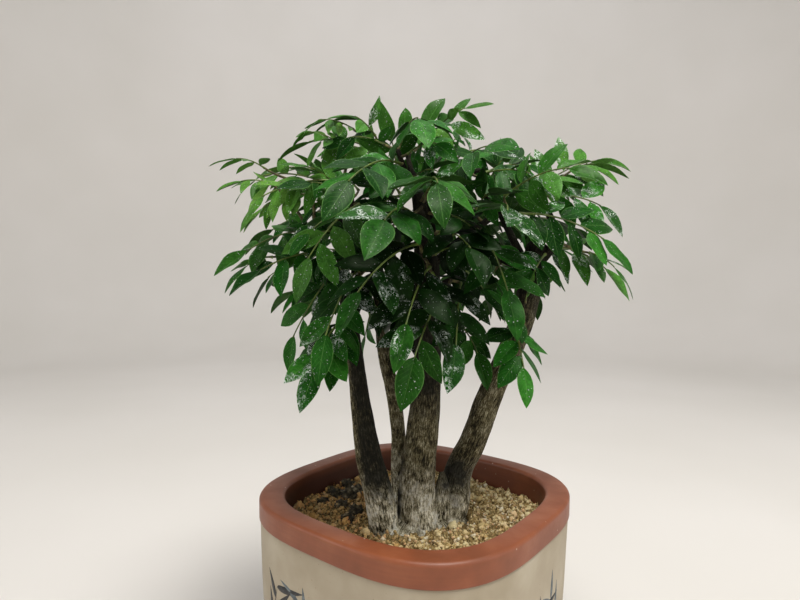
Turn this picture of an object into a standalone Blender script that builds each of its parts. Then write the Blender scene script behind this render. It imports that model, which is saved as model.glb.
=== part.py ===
"""Red sandalwood bonsai: a clump of four trunks with pinnate leaves, in its square pot.

Frame: metres, +Z up, origin at the centre of the pot's flat underside. The viewer stands on the
-Y side. Places in the tables are in millimetres, as (x, y, z).
"""

import math
import random

import bmesh
import bpy
import numpy as np
from mathutils import Matrix, Vector
from mathutils.bvhtree import BVHTree

MM = 0.001
GAP = 0.3 * MM

# Pot: a rounded square, turned so that one corner points almost at the viewer
POT_HEIGHT = 130 * MM
POT_HALF = 80 * MM
POT_SQUARENESS = 3.05
POT_TURN = math.radians(52.25)
POT_SIDES = 32
SMOOTH_BELOW = math.radians(35)
FOOT_HALF = 74 * MM
BODY_TOP_HALF = 79.4 * MM
BAND_HEIGHT = 12.1 * MM
BAND_CHAMFER = 0.4 * MM
RIM_ROUND = 2.2 * MM
WALL = 12.7 * MM
FLOOR = 9 * MM
FLOOR_HALF = 58 * MM
FLOOR_ROUND = (3 * MM, 4 * MM)
FOOT_ROUND = 1.5 * MM
BELLY = (0.45, 0.55)
DRAIN_RADIUS = 6 * MM
DRAIN_REACH = 21.8 * MM
DRAIN_SIDES = 12
DRAIN_HOLES = 4
DRILL_DEPTH = 4 * FLOOR

# Net over the drain holes
NET_HALF = 32 * MM
NET_THICKNESS = 1.2 * MM
NET_BARS = 5
NET_BAR_WIDTH = 2.4 * MM

# Soil
SOIL_LEVEL = 114 * MM
SOIL_HEAP = 3 * MM
SOIL_RINGS = 6
GRAIN_RELIEF = 0.9 * MM
STONES = [(-41, 17, 6.5), (-50, 20, 5), (-35, -6, 5.5), (-44, 36, 5), (38, 24, 4.5), (22, 40, 4)]
STONE_RISE = 0.7

# Root crown, where the four trunks join. It stands in a plain hole in the soil.
CROWN_CENTRE = (1, -12)
CROWN_LOBES = [(-16, -24, 11.5), (-9, 6, 9.5), (-1, -20, 14), (18, -9, 13)]
CROWN_WAIST = 15
CROWN_SIDES = POT_SIDES // 2
CROWN_DEPTH = 26 * MM
CROWN_GAP = 0.4 * MM
CROWN_SOFTENING = (-0.24, -0.12, 0.0, 0.12, 0.24)
CROWN_RINGS = [(4.0, 1.0), (10.0, 0.88), (16.0, 0.5)]

# Trunks: points on the centre line, each with the diameter there
TRUNKS = {
    "left": [
        (-15, -23, 108, 11), (-17, -24, 118, 14), (-20, -24, 131, 15.4), (-26, -23, 151, 14.2),
        (-31, -21, 178, 11.2), (-34, -20, 200, 9.6), (-38, -18, 228, 8.4), (-42, -13, 250, 7.4),
        (-44, -6, 270, 6.0), (-47, 1, 288, 4.6), (-47, 8, 306, 3.2),
    ],
    "back": [
        (-7, 5, 108, 8), (-9, 7, 122, 9.8), (-10, 9, 138, 9.4), (-11, 10, 157, 8.5), (-14, 12, 180, 8.4),
        (-20, 16, 206, 7.8), (-23, 19, 233, 7.2), (-26, 22, 256, 6.4), (-28, 24, 280, 5.2),
        (-25, 24, 304, 4.0), (-23, 20, 322, 2.8),
    ],
    "centre": [
        (-1, -18, 108, 16), (-1, -18, 120, 19.6), (0, -16, 142, 19.2), (3, -14, 168, 17.8),
        (5, -12, 200, 15.4), (5, -11, 235, 14.6), (4, -10, 264, 13.4), (2, -8, 284, 10.4),
        (-2, -4, 304, 6.4), (-7, 0, 324, 3.4),
    ],
    "right": [
        (16, -9, 108, 14), (21, -7, 122, 17), (24, -5, 141, 15.4), (32, -4, 158, 15),
        (42, -1, 184, 14.6), (52, 1, 207, 13.8), (60, 3, 226, 13.6), (65, 4, 246, 13.6),
        (69, 5, 264, 13), (70, 5, 272, 12.2), (70.4, 5, 273.6, 10.4),
    ],
}
TRUNK_SIDES = 8
BARK_RIPPLE = 0.05

# Branches: the diameter at the root and at the end, then points on the centre line
BRANCHES = [
    (4.6, 2.8, [(-42, -14, 250), (-55, -9, 262), (-62, -4, 276)]),
    (4.0, 2.6, [(-39, -17, 238), (-42, -8, 250), (-42, 4, 250)]),
    (4.2, 2.6, [(-44, -7, 268), (-37, -14, 284), (-38, -17, 298)]),
    (3.6, 2.6, [(-38, -18, 226), (-36, -25, 238), (-33, -25, 254)]),
    (3.8, 2.6, [(-26, 22, 255), (-36, 25, 263), (-48, 21, 266)]),
    (3.8, 2.6, [(-28, 24, 278), (-38, 24, 290), (-42, 28, 302)]),
    (4.0, 2.6, [(-23, 19, 240), (-10, 30, 253), (6, 34, 261), (18, 32, 266)]),
    (4.0, 2.6, [(-28, 24, 284), (-12, 34, 290), (6, 36, 292)]),
    (3.6, 2.4, [(-25, 24, 305), (-8, 27, 316), (6, 24, 322)]),
    (4.8, 3.0, [(4, -11, 264), (6, -23, 280), (1, -31, 292)]),
    (5.0, 2.8, [(4, -10, 256), (20, -12, 272), (36, -15, 284), (48, -17, 292)]),
    (4.8, 2.8, [(2, -8, 284), (14, -4, 302), (24, 6, 312), (36, 10, 317)]),
    (4.0, 2.6, [(-1, -5, 300), (-9, -14, 312), (-13, -15, 323)]),
    (4.2, 2.8, [(5, -12, 238), (10, -20, 248), (16, -26, 252)]),
    (4.6, 2.8, [(5, -12, 250), (4, -24, 258), (0, -32, 266)]),
    (4.8, 3.0, [(65, 5, 246), (62, 16, 258), (52, 24, 264)]),
    (5.4, 3.0, [(67, 6, 254), (57, 13, 276), (50, 20, 292), (42, 27, 304)]),
    (5.2, 3.2, [(68, 4, 258), (78, -2, 276), (72, -4, 292), (62, 0, 302)]),
    (3.8, 2.6, [(60, 2, 226), (55, -6, 226), (53, -10, 228)]),
    (3.8, 2.6, [(66, 8, 257), (73, 14, 266), (76, 12, 272)]),
]
BRANCH_SIDES = 5
TWIG_SIDES = 3
FIRST_FORK = 4
JOINT_INSET = 0.05
TWIG_SHARE = 0.9
SHORT_TWIG = 8 * MM
TWIG_BEND = 0.35
TWIG_ROOT_RADIUS = 1.3 * MM
TWIG_END_RADIUS = 1.05 * MM

# Sprays, one compound leaf each: the name, where its stalk leaves the twig, the stalk's end,
# the number of leaflets and the length of the largest one
SPRAYS = [
    ("low_left_front", (-42, -28, 230), (-52, -50, 208), 7, 26),
    ("low_left_hang", (-44, -4, 260), (-70, -16, 219), 7, 24),
    ("low_centre", (14, -32, 247), (-4, -70, 216), 8, 27),
    ("wet_left", (-2, -38, 270), (-30, -72, 246), 8, 27),
    ("low_mid", (4, -38, 258), (-8, -76, 232), 5, 26),
    ("low_right_mid", (22, -20, 250), (16, -60, 221), 6, 25),
    ("low_right", (52, -12, 228), (53, -40, 207), 7, 23),
    ("sprout", (61, -5, 240), (61, -16, 252), 4, 10),
    ("inner_left", (-33, -27, 257), (-46, -60, 225), 7, 26),
    ("left_low", (-60, -3, 279), (-98, -6, 267), 8, 25),
    ("left_low_front", (-50, -10, 266), (-86, -24, 256), 7, 24),
    ("left_mid_front", (-34, -20, 292), (-57, -44, 262), 7, 26),
    ("left_mid_back", (-47, 16, 292), (-92, 30, 282), 7, 25),
    ("left_upper", (-51, 8, 306), (-98, 18, 313), 8, 24),
    ("left_young", (-40, -20, 304), (-83, -33, 294), 8, 22),
    ("left_top_twigs", (-44, 27, 309), (-82, 34, 322), 7, 22),
    ("top_left", (-25, 12, 328), (-66, 12, 333), 8, 24),
    ("top_upright", (-13, 3, 312), (-16, -4, 329), 5, 24),
    ("top_mid", (-11, -14, 328), (-3, -48, 331), 7, 26),
    ("front_left_high", (-12, -22, 314), (-35, -66, 297), 8, 27),
    ("front_high", (3, -36, 298), (5, -82, 294), 8, 27),
    ("front_mid", (-5, -34, 286), (-18, -78, 278), 8, 27),
    ("top_right", (-12, 0, 330), (17, 0, 341), 6, 25),
    ("top_right_back", (14, 6, 318), (22, 22, 338), 6, 23),
    ("right_top_front", (14, -8, 306), (31, -46, 318), 8, 26),
    ("right_crown", (46, -18, 298), (74, -40, 309), 7, 24),
    ("right_bud", (60, -2, 303), (73, -9, 309), 5, 19),
    ("top_cover_right", (34, 2, 312), (60, -14, 311), 6, 22),
    ("top_cover_left", (-45, 0, 301), (-61, -20, 312), 6, 21),
    ("right_top", (66, 6, 302), (107, 14, 324), 8, 25),
    ("right_mid", (70, -8, 299), (101, -10, 294), 7, 24),
    ("right_low", (54, -20, 288), (96, -30, 274), 8, 25),
    ("right_front", (46, -22, 286), (38, -68, 284), 8, 27),
    ("inner_front", (10, -24, 276), (22, -62, 267), 6, 26),
    ("inner_right", (32, -20, 278), (41, -56, 247), 6, 26),
    ("right_far", (78, 2, 272), (109, 2, 259), 7, 24),
    ("right_back_low", (74, 18, 268), (104, 38, 270), 7, 25),
    ("right_back", (62, 20, 288), (102, 44, 286), 7, 25),
    ("right_back_top", (58, 14, 306), (90, 38, 317), 8, 25),
    ("top_far_right", (40, 12, 316), (68, 26, 322), 7, 24),
    ("back_right", (44, 32, 288), (66, 78, 284), 5, 26),
    ("back_right_low", (50, 30, 262), (80, 62, 246), 7, 25),
    ("back_right_top", (40, 32, 308), (54, 70, 324), 7, 25),
    ("back_low_right", (20, 36, 264), (32, 84, 246), 6, 26),
    ("back_mid", (10, 40, 292), (14, 92, 288), 5, 26),
    ("back_top", (8, 28, 324), (12, 66, 336), 7, 25),
    ("top_back_right", (22, 14, 324), (44, 40, 334), 6, 23),
    ("back_low_left", (-14, 34, 252), (-26, 80, 238), 6, 26),
    ("back_mid_left", (-16, 38, 286), (-34, 88, 280), 5, 26),
    ("back_top_left", (-12, 30, 318), (-24, 70, 328), 7, 25),
    ("back_left_low", (-40, 29, 262), (-70, 62, 244), 7, 25),
    ("back_left", (-40, 32, 288), (-76, 66, 282), 7, 25),
    ("back_left_top", (-38, 32, 308), (-58, 64, 322), 7, 24),
    ("top_back_left", (-27, 24, 326), (-50, 46, 338), 7, 23),
    ("left_back_low", (-52, 19, 266), (-96, 36, 252), 7, 25),
    ("left_lowest", (-43, 8, 250), (-76, 24, 244), 7, 25),
]
RACHIS_ROOT = 1.05 * MM
RACHIS_TIP = 0.85 * MM
RACHIS_SIDES = 3
RACHIS_SPANS = 3
RACHIS_ARCH = 0.18
STALK_END = 0.965
CANOPY_AXIS = (2, 24)
CANOPY_HALF = (118, 70)
OUTWARD_FACING = 1.6

# Places of the leaflets on a stalk, in shares of its length, and their lengths in shares of the
# largest one, shortest at the root and the tip
FIRST_LEAFLET = 0.13
LEAFLET_RUN = 0.80
LEAFLET_SIZE = (0.84, 0.14)
LENGTH_DRAW = (0.92, 1.06)

# How a leaflet is set: the angle from the stalk at its root and how much less it is at its tip,
# the sag of every leaflet, and the ranges of the seeded turns. Each new try spreads them wider.
FAN_ROOT = math.radians(66)
FAN_CLOSING = math.radians(26)
FAN_DRAW = 0.22
LIFT_DRAW = (-0.30, 0.26)
ROLL_DRAW = 0.5
PITCH_DRAW = 0.3
DROOP_DRAW = (0.04, 0.12)
SAG = Vector((0, 0, -0.22))
TRY_SPREAD = 0.16
TRY_SHRINK = 0.012
SEED_STEP = 1000

# Leaflet: an ovate outline with a pointed tip, as half widths along the blade in shares of the
# widest, and the place along it where it is thickest
LEAF_STATIONS = [(0.20, 0.78), (0.45, 1.0), (0.78, 0.52)]
LEAF_CREST = 0.42
LEAF_WIDTH = 0.56
LEAF_THICKNESS = 0.95 * MM
LEAF_SUNK = 0.25 * MM
LEAF_ROOT = 0.4 * MM
LEAF_CLEARANCE = 0.35 * MM
LEAF_TRIES = 24
SEED = 11

COLOURS = {
    "pot": ((0.60, 0.49, 0.37), 0.62),
    "drain_net": ((0.03, 0.03, 0.03), 0.6),
    "soil": ((0.34, 0.24, 0.15), 0.95),
    "trunks": ((0.16, 0.125, 0.095), 0.9),
    "leaves": ((0.055, 0.13, 0.022), 0.38),
}


def at(point):
    """A table's place in millimetres, in metres."""
    return Vector(point[:3]) * MM


def material(name):
    """The part's own colour and roughness."""
    colour, roughness = COLOURS[name]
    slot = bpy.data.materials.new(name)
    slot.use_nodes = True
    shader = slot.node_tree.nodes["Principled BSDF"]
    shader.inputs["Base Color"].default_value = (*colour, 1.0)
    shader.inputs["Roughness"].default_value = roughness
    shader.inputs["Metallic"].default_value = 0.0
    return slot


def place(name, mesh, slot=None, where=None):
    """A new object for a mesh, in the scene or in the collection where it is joined."""
    thing = bpy.data.objects.new(name, mesh)
    if slot is not None:
        mesh.materials.append(slot)
    (where or bpy.context.scene.collection).objects.link(thing)
    return thing


def as_mesh(name, shape):
    """A mesh from a finished bmesh."""
    mesh = bpy.data.meshes.new(name)
    shape.to_mesh(mesh)
    shape.free()
    return mesh


def cut(thing, mesh):
    """Cut a mesh out of an object, with the cutter left as a hidden guide."""
    cutter = place(mesh.name, mesh)
    cutter.hide_render = True
    cutter.display_type = "WIRE"
    step = thing.modifiers.new(mesh.name, "BOOLEAN")
    step.operation = "DIFFERENCE"
    step.solver = "EXACT"
    step.object = cutter


def loft(name, rings):
    """A closed mesh through rings of equal length, with a flat cap on the first and the last."""
    shape = bmesh.new()
    rows = [[shape.verts.new(point) for point in ring] for ring in rings]
    for low, high in zip(rows, rows[1:]):
        for k in range(len(low)):
            n = (k + 1) % len(low)
            shape.faces.new((low[k], low[n], high[n], high[k]))
    shape.faces.new(list(reversed(rows[0])))
    shape.faces.new(rows[-1])
    bmesh.ops.triangulate(shape, faces=[face for face in shape.faces if len(face.verts) > 4])
    return as_mesh(name, shape)


def rounded_square(half, z):
    """A level ring on the pot's rounded-square outline, denser at the corners."""
    power = 2.0 / POT_SQUARENESS
    ring = []
    for k in range(POT_SIDES):
        turn = 2 * math.pi * k / POT_SIDES
        x = half * math.copysign(abs(math.cos(turn)) ** power, math.cos(turn))
        y = half * math.copysign(abs(math.sin(turn)) ** power, math.sin(turn))
        ring.append(Vector((
            x * math.cos(POT_TURN) - y * math.sin(POT_TURN),
            x * math.sin(POT_TURN) + y * math.cos(POT_TURN),
            z,
        )))
    return ring


def inner_half(z):
    """Half the pot's inner width at a height."""
    low_half = FLOOR_HALF + FLOOR_ROUND[0]
    top_half = POT_HALF - WALL
    low_z = FLOOR + FLOOR_ROUND[1]
    if z < low_z:
        return FLOOR_HALF + (low_half - FLOOR_HALF) * (z - FLOOR) / (low_z - FLOOR)
    return low_half + (top_half - low_half) * (z - low_z) / (POT_HEIGHT - RIM_ROUND - low_z)


def make_pot():
    """Pot body with its overhanging band, rounded rim, plain foot and four drain holes."""
    band_foot = POT_HEIGHT - BAND_HEIGHT
    round_low = POT_HEIGHT - RIM_ROUND
    edge = RIM_ROUND * (1 - math.sqrt(0.5))
    profile = [
        (FOOT_HALF - FOOT_ROUND, 0.0),
        (FOOT_HALF, FOOT_ROUND),
        (FOOT_HALF + BELLY[1] * (BODY_TOP_HALF - FOOT_HALF), BELLY[0] * band_foot),
        (BODY_TOP_HALF, band_foot),
        (POT_HALF, band_foot + BAND_CHAMFER),
        (POT_HALF, round_low),
        (POT_HALF - edge, POT_HEIGHT - edge),
        (POT_HALF - RIM_ROUND, POT_HEIGHT),
        (POT_HALF - WALL + RIM_ROUND, POT_HEIGHT),
        (POT_HALF - WALL + edge, POT_HEIGHT - edge),
        (inner_half(round_low), round_low),
        (inner_half(FLOOR + FLOOR_ROUND[1]), FLOOR + FLOOR_ROUND[1]),
        (FLOOR_HALF, FLOOR),
    ]
    mesh = loft("pot", [rounded_square(half, z) for half, z in profile])
    mesh.shade_smooth()
    mesh.set_sharp_from_angle(angle=SMOOTH_BELOW)
    pot = place("pot", mesh, material("pot"))
    drills = bmesh.new()
    for k in range(DRAIN_HOLES):
        turn = POT_TURN + (k + 0.5) * 2 * math.pi / DRAIN_HOLES
        drill = bmesh.ops.create_cone(
            drills,
            cap_ends=True,
            segments=DRAIN_SIDES,
            radius1=DRAIN_RADIUS,
            radius2=DRAIN_RADIUS,
            depth=DRILL_DEPTH,
        )
        spot = Vector((DRAIN_REACH * math.cos(turn), DRAIN_REACH * math.sin(turn), 0.0))
        bmesh.ops.translate(drills, verts=drill["verts"], vec=spot)
    cut(pot, as_mesh("pot_drills", drills))


def net_lines():
    """The edges of the net's bars along one side."""
    pitch = (2 * NET_HALF - NET_BAR_WIDTH) / (NET_BARS - 1)
    lines = []
    for k in range(NET_BARS):
        lines += [-NET_HALF + k * pitch, -NET_HALF + k * pitch + NET_BAR_WIDTH]
    return lines


def make_net():
    """A square of coarse plastic net that lies on the pot's floor over the drain holes."""
    lines = net_lines()
    shape = bmesh.new()
    grid = [[shape.verts.new((x, y, 0.0)) for x in lines] for y in lines]
    for j in range(len(lines) - 1):
        for i in range(len(lines) - 1):
            if i % 2 == 0 or j % 2 == 0:
                shape.faces.new((grid[j][i], grid[j][i + 1], grid[j + 1][i + 1], grid[j + 1][i]))
    net = place("drain_net", as_mesh("drain_net", shape), material("drain_net"))
    net.rotation_euler.z = POT_TURN
    net.location.z = FLOOR + GAP
    thick = net.modifiers.new("thickness", "SOLIDIFY")
    thick.thickness = NET_THICKNESS
    thick.offset = 1.0


def crown_radius(turn):
    """The root crown's lobed outline: how far it reaches from its centre in one direction."""
    x = math.cos(turn)
    y = math.sin(turn)
    reach = CROWN_WAIST
    for lobe_x, lobe_y, radius in CROWN_LOBES:
        along = (lobe_x - CROWN_CENTRE[0]) * x + (lobe_y - CROWN_CENTRE[1]) * y
        aside = (lobe_x - CROWN_CENTRE[0]) * y - (lobe_y - CROWN_CENTRE[1]) * x
        if abs(aside) < radius:
            reach = max(reach, along + math.sqrt(radius * radius - aside * aside))
    return reach * MM


def crown_ring(z, share=1.0, extra=0.0):
    """A level ring on the root crown's outline, softened between its lobes."""
    ring = []
    for k in range(CROWN_SIDES):
        turn = POT_TURN + 2 * math.pi * k / CROWN_SIDES
        near = [crown_radius(turn + step) for step in CROWN_SOFTENING]
        reach = share * sum(near) / len(near) + extra
        ring.append(Vector((
            CROWN_CENTRE[0] * MM + reach * math.cos(turn),
            CROWN_CENTRE[1] * MM + reach * math.sin(turn),
            z,
        )))
    return ring


def stone_height(x, y):
    """How far the stones on the soil rise at a place."""
    rise = 0.0
    for stone_x, stone_y, radius in STONES:
        away = math.hypot(x / MM - stone_x, y / MM - stone_y) / radius
        rise = max(rise, STONE_RISE * radius * MM * (1 - away * away))
    return rise


def make_soil():
    """Granular soil that fills the pot, with a plain hole for the root crown."""
    draw = random.Random(SEED)
    bottom = FLOOR + GAP
    side_low = FLOOR + FLOOR_ROUND[1]
    edge = rounded_square(inner_half(SOIL_LEVEL) - GAP, SOIL_LEVEL)
    corners = crown_ring(SOIL_LEVEL, extra=CROWN_GAP)
    hole = []
    for spot, following in zip(corners, corners[1:] + corners[:1]):
        hole += [spot, (spot + following) / 2]
    rings = [
        rounded_square(inner_half(bottom) - GAP, bottom),
        rounded_square(inner_half(side_low) - GAP, side_low),
        edge,
    ]
    for row in range(1, SOIL_RINGS + 1):
        inward = row / SOIL_RINGS
        ring = []
        for outer, inner in zip(edge, hole):
            spot = outer.lerp(inner, inward)
            grain = draw.uniform(-GRAIN_RELIEF, GRAIN_RELIEF)
            spot.z = SOIL_LEVEL + SOIL_HEAP * inward + grain + stone_height(spot.x, spot.y)
            ring.append(spot)
        rings.append(ring)
    crown_foot = SOIL_LEVEL - CROWN_DEPTH - GAP
    rings.append([Vector((spot.x, spot.y, crown_foot)) for spot in hole])
    soil = place("soil", loft("soil", rings), material("soil"))
    recess = bmesh.new()
    bmesh.ops.create_cube(recess, size=1.0)
    width = 2 * (NET_HALF + GAP)
    bmesh.ops.scale(recess, vec=(width, width, 2 * (NET_THICKNESS + 2 * GAP)), verts=recess.verts)
    bmesh.ops.rotate(recess, matrix=Matrix.Rotation(POT_TURN, 3, "Z"), verts=recess.verts)
    bmesh.ops.translate(recess, vec=(0.0, 0.0, FLOOR), verts=recess.verts)
    cut(soil, as_mesh("net_recess", recess))


def tube_rings(points, radii, sides, ripple=0.0, first=None, last=None, side=None):
    """Rings round a bent centre line. first and last are directions that its ends are square to."""
    rings = []
    for k, point in enumerate(points):
        ahead = points[min(k + 1, len(points) - 1)] - points[max(k - 1, 0)]
        if k == 0 and first is not None:
            ahead = first
        if k == len(points) - 1 and last is not None:
            ahead = last
        ahead = ahead.normalized()
        if side is None:
            side = ahead.orthogonal().normalized()
        side = (side - ahead * side.dot(ahead)).normalized()
        across = ahead.cross(side)
        ring = []
        for n in range(sides):
            turn = 2 * math.pi * n / sides
            wave = 1 + ripple * (math.sin(3 * turn + 1.7 * k) + 0.6 * math.sin(2 * turn - k))
            ring.append(point + (side * math.cos(turn) + across * math.sin(turn)) * radii[k] * wave)
        rings.append(ring)
    return rings


def bend(start, middle, end, spans):
    """Points on a quadratic curve."""
    points = []
    for k in range(spans + 1):
        t = k / spans
        points.append(start * (1 - t) ** 2 + middle * (2 * t * (1 - t)) + end * t * t)
    return points


def rachis_curve(spray):
    """The three points that a spray's stalk bends along, arched a little upwards."""
    start = at(spray[1])
    end = at(spray[2])
    middle = (start + end) / 2 + Vector((0, 0, RACHIS_ARCH * (end - start).length))
    return start, middle, end


def nearest_on_wood(point, lines):
    """The place on the trunks and branches that is nearest to a point, and the radius there."""
    best = None
    for points, radii in lines:
        for k in range(len(points) - 1):
            run = points[k + 1] - points[k]
            share = (point - points[k]).dot(run) / run.length_squared
            share = min(1 - JOINT_INSET, max(JOINT_INSET, share))
            spot = points[k] + run * share
            away = (point - spot).length
            if best is None or away < best[0]:
                best = (away, spot, radii[k] + (radii[k + 1] - radii[k]) * share)
    return best[1], best[2]


def wood_tubes():
    """The rings of every piece of wood above the root crown."""
    tubes = []
    lines = []
    for table in TRUNKS.values():
        points = [at(row) for row in table]
        radii = [row[3] * MM / 2 for row in table]
        tubes.append(tube_rings(points, radii, TRUNK_SIDES, BARK_RIPPLE))
        lines.append((points[FIRST_FORK:], radii[FIRST_FORK:]))
    for root, end, table in BRANCHES:
        points = [at(row) for row in table]
        last = len(points) - 1
        radii = [(root + (end - root) * k / last) * MM / 2 for k in range(last + 1)]
        tubes.append(tube_rings(points, radii, BRANCH_SIDES))
        lines.append((points, radii))
    for spray in SPRAYS:
        start, middle, end = rachis_curve(spray)
        ahead = (middle - start).normalized()
        tip = start - ahead * GAP / 2
        root, radius = nearest_on_wood(tip, lines)
        reach = (tip - root).length
        spans = 1 if reach < SHORT_TWIG else 2
        points = bend(root, tip - ahead * TWIG_BEND * reach, tip, spans)
        thick = min(TWIG_ROOT_RADIUS, radius * TWIG_SHARE)
        radii = [thick + (TWIG_END_RADIUS - thick) * k / spans for k in range(spans + 1)]
        tubes.append(tube_rings(points, radii, TWIG_SIDES, last=ahead))
    return tubes


def joined(name, body, pieces, slot):
    """One object: the body's mesh with every piece of a list of meshes united into it."""
    thing = place(name, body)
    group = bpy.data.collections.new(name + "_pieces")
    bpy.context.scene.collection.children.link(group)
    for k, mesh in enumerate(pieces):
        place(f"{name}_piece_{k}", mesh, where=group)
    union = thing.modifiers.new("union", "BOOLEAN")
    union.operation = "UNION"
    union.operand_type = "COLLECTION"
    union.collection = group
    union.solver = "MANIFOLD"
    seen = thing.evaluated_get(bpy.context.evaluated_depsgraph_get())
    whole = bpy.data.meshes.new_from_object(seen)
    thing.modifiers.clear()
    thing.data = whole
    whole.materials.clear()
    whole.materials.append(slot)
    for piece in list(group.objects):
        bpy.data.objects.remove(piece)
    bpy.data.collections.remove(group)
    return thing


def make_trunks():
    """The root crown with the four trunks, their branches and the twigs, grown as one piece."""
    level = SOIL_LEVEL - CROWN_DEPTH
    rings = [crown_ring(level), crown_ring(SOIL_LEVEL)]
    rings += [crown_ring(SOIL_LEVEL + rise * MM, share) for rise, share in CROWN_RINGS]
    pieces = [loft(f"wood_{k}", tube) for k, tube in enumerate(wood_tubes())]
    joined("trunks", loft("crown", rings), pieces, material("trunks"))


class Leaflet:
    """A thin ovate blade: its base, direction, upper side, length, and how far its tip droops."""

    def __init__(self, base, ahead, up, length, droop):
        self.base = base
        self.ahead = ahead.normalized()
        self.up = (up - self.ahead * up.dot(self.ahead)).normalized()
        self.side = self.ahead.cross(self.up)
        self.length = length
        self.droop = droop

    def spot(self, along, aside, rise):
        """A place on the blade, which bends down along a parabola."""
        bent = self.base + self.ahead * (along * self.length) + self.side * aside
        return bent + self.up * (rise - self.droop * self.length * along * along)

    def solid(self, grown=0.0):
        """Corners and triangles, the blade made larger all round by an amount."""
        more = grown / self.length
        half = LEAF_WIDTH * self.length / 2
        low = -LEAF_THICKNESS / 2 - grown
        corners = [self.spot(-LEAF_SUNK / self.length, 0.0, -LEAF_ROOT / 2)]
        for along, share in LEAF_STATIONS:
            corners.append(self.spot(along, half * share + grown, low))
            corners.append(self.spot(along, -half * share - grown, low))
        tip = len(corners)
        corners.append(self.spot(1.0 + more, 0.0, low))
        crest = tip + 1
        corners.append(self.spot(LEAF_CREST, 0.0, LEAF_THICKNESS / 2 + grown))
        root = tip + 2
        corners.append(self.spot(-LEAF_SUNK / self.length, 0.0, LEAF_ROOT / 2))
        faces = [(0, 2, 1), (tip - 2, tip - 1, tip), (0, 1, root), (0, root, 2)]
        faces += [(root, 1, crest), (2, root, crest)]
        for a in range(1, tip - 2, 2):
            faces += [(a, a + 1, a + 2), (a + 1, a + 3, a + 2), (a, a + 2, crest), (a + 3, a + 1, crest)]
        faces += [(tip - 2, tip, crest), (tip, tip - 1, crest)]
        return corners, faces


class Neighbours:
    """The solids that a new leaflet must stay clear of."""

    def __init__(self):
        self.boxes = []
        self.trees = []
        self.owners = []

    def add(self, corners, faces, owner):
        """Take in one solid and the spray that it belongs to."""
        self.boxes.append(box_of(corners))
        self.trees.append(BVHTree.FromPolygons(corners, faces))
        self.owners.append(owner)

    def hit(self, corners, faces, but):
        """Whether a solid would touch any neighbour, apart from those of one owner."""
        box = box_of(corners)
        boxes = np.array(self.boxes)
        near = np.all((boxes[:, :3] <= box[3:]) & (boxes[:, 3:] >= box[:3]), axis=1)
        tree = BVHTree.FromPolygons(corners, faces)
        for k in np.flatnonzero(near):
            if self.owners[k] != but and tree.overlap(self.trees[k]):
                return True
        return False


def box_of(corners):
    """The least and greatest x, y and z of a solid's corners."""
    points = np.array([tuple(corner) for corner in corners])
    return np.concatenate([points.min(axis=0), points.max(axis=0)])


def tube_solid(rings):
    """Corners and triangles of a tube through equal rings, closed at both ends."""
    corners = [point for ring in rings for point in ring]
    sides = len(rings[0])
    faces = []
    for k in range(len(rings) - 1):
        for n in range(sides):
            a = k * sides + n
            b = k * sides + (n + 1) % sides
            faces += [(a, b, b + sides), (a, b + sides, a + sides)]
    last = len(corners) - sides
    for n in range(1, sides - 1):
        faces += [(0, n + 1, n), (last, last + n, last + n + 1)]
    return corners, faces


def facing(base, ahead):
    """The way that a spray's upper side faces: up and away from the middle of the canopy."""
    x = base.x / MM - CANOPY_AXIS[0]
    y = base.y / MM - CANOPY_AXIS[1]
    outward = Vector((x / CANOPY_HALF[0] ** 2, y / CANOPY_HALF[1] ** 2, 0.0)).normalized()
    up = Vector((0, 0, 1)) + outward * OUTWARD_FACING
    return (up - ahead * up.dot(ahead)).normalized()


def stalk_rings(spray):
    """The rings of a spray's stalk, which starts a gap beyond the end of its twig."""
    start, middle, end = rachis_curve(spray)
    ahead = (middle - start).normalized()
    points = bend(start, middle, end, RACHIS_SPANS)
    points[0] = start + ahead * GAP / 2
    taper = (RACHIS_TIP - RACHIS_ROOT) / RACHIS_SPANS
    radii = [RACHIS_ROOT + taper * k for k in range(RACHIS_SPANS + 1)]
    return tube_rings(points, radii, RACHIS_SIDES, first=ahead, side=-facing(start, ahead))


def leaflet_choice(spray, t, hand, length, draw, spread):
    """One way to set a leaflet at t along a stalk: hand is 1 or -1 at the sides, 0 at the end."""
    start, middle, end = rachis_curve(spray)
    span = min(RACHIS_SPANS - 1, int(t * RACHIS_SPANS))
    points = bend(start, middle, end, RACHIS_SPANS)
    base = points[span].lerp(points[span + 1], t * RACHIS_SPANS - span)
    ahead = ((middle - start) * (1 - t) + (end - middle) * t).normalized()
    up = facing(base, ahead)
    side = ahead.cross(up) * hand
    fan = FAN_ROOT - FAN_CLOSING * t if hand else 0.0
    fan += draw.uniform(-FAN_DRAW, FAN_DRAW) * spread
    lift = draw.uniform(*LIFT_DRAW) * spread
    way = ahead * math.cos(fan) + side * math.sin(fan) + up * lift + SAG
    roll = draw.uniform(-ROLL_DRAW, ROLL_DRAW) * spread
    face = up + side * roll + ahead * draw.uniform(-PITCH_DRAW, PITCH_DRAW) * spread
    if not hand:
        face += ahead.cross(up) * roll
    return Leaflet(base, way, face, length, draw.uniform(*DROOP_DRAW))


def leaflet_places():
    """Every leaflet's rank on its stalk, the stalk, the share along it, the hand and the size.

    Those at the ends of the stalks come first, and each stalk is then filled from its end back.
    """
    places = []
    for order, spray in enumerate(SPRAYS):
        last = spray[3] - 1
        places.append((0, order, STALK_END, 0, 1.0))
        for k in range(last - 1, -1, -1):
            share = FIRST_LEAFLET + LEAFLET_RUN * k / last
            hand = 1 if (k + order) % 2 else -1
            size = LEAFLET_SIZE[0] + LEAFLET_SIZE[1] * math.sin(math.pi * share)
            places.append((last - k, order, share, hand, size))
    places.sort(key=lambda row: (row[0] > 0, row[1], row[0]))
    return places


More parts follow.
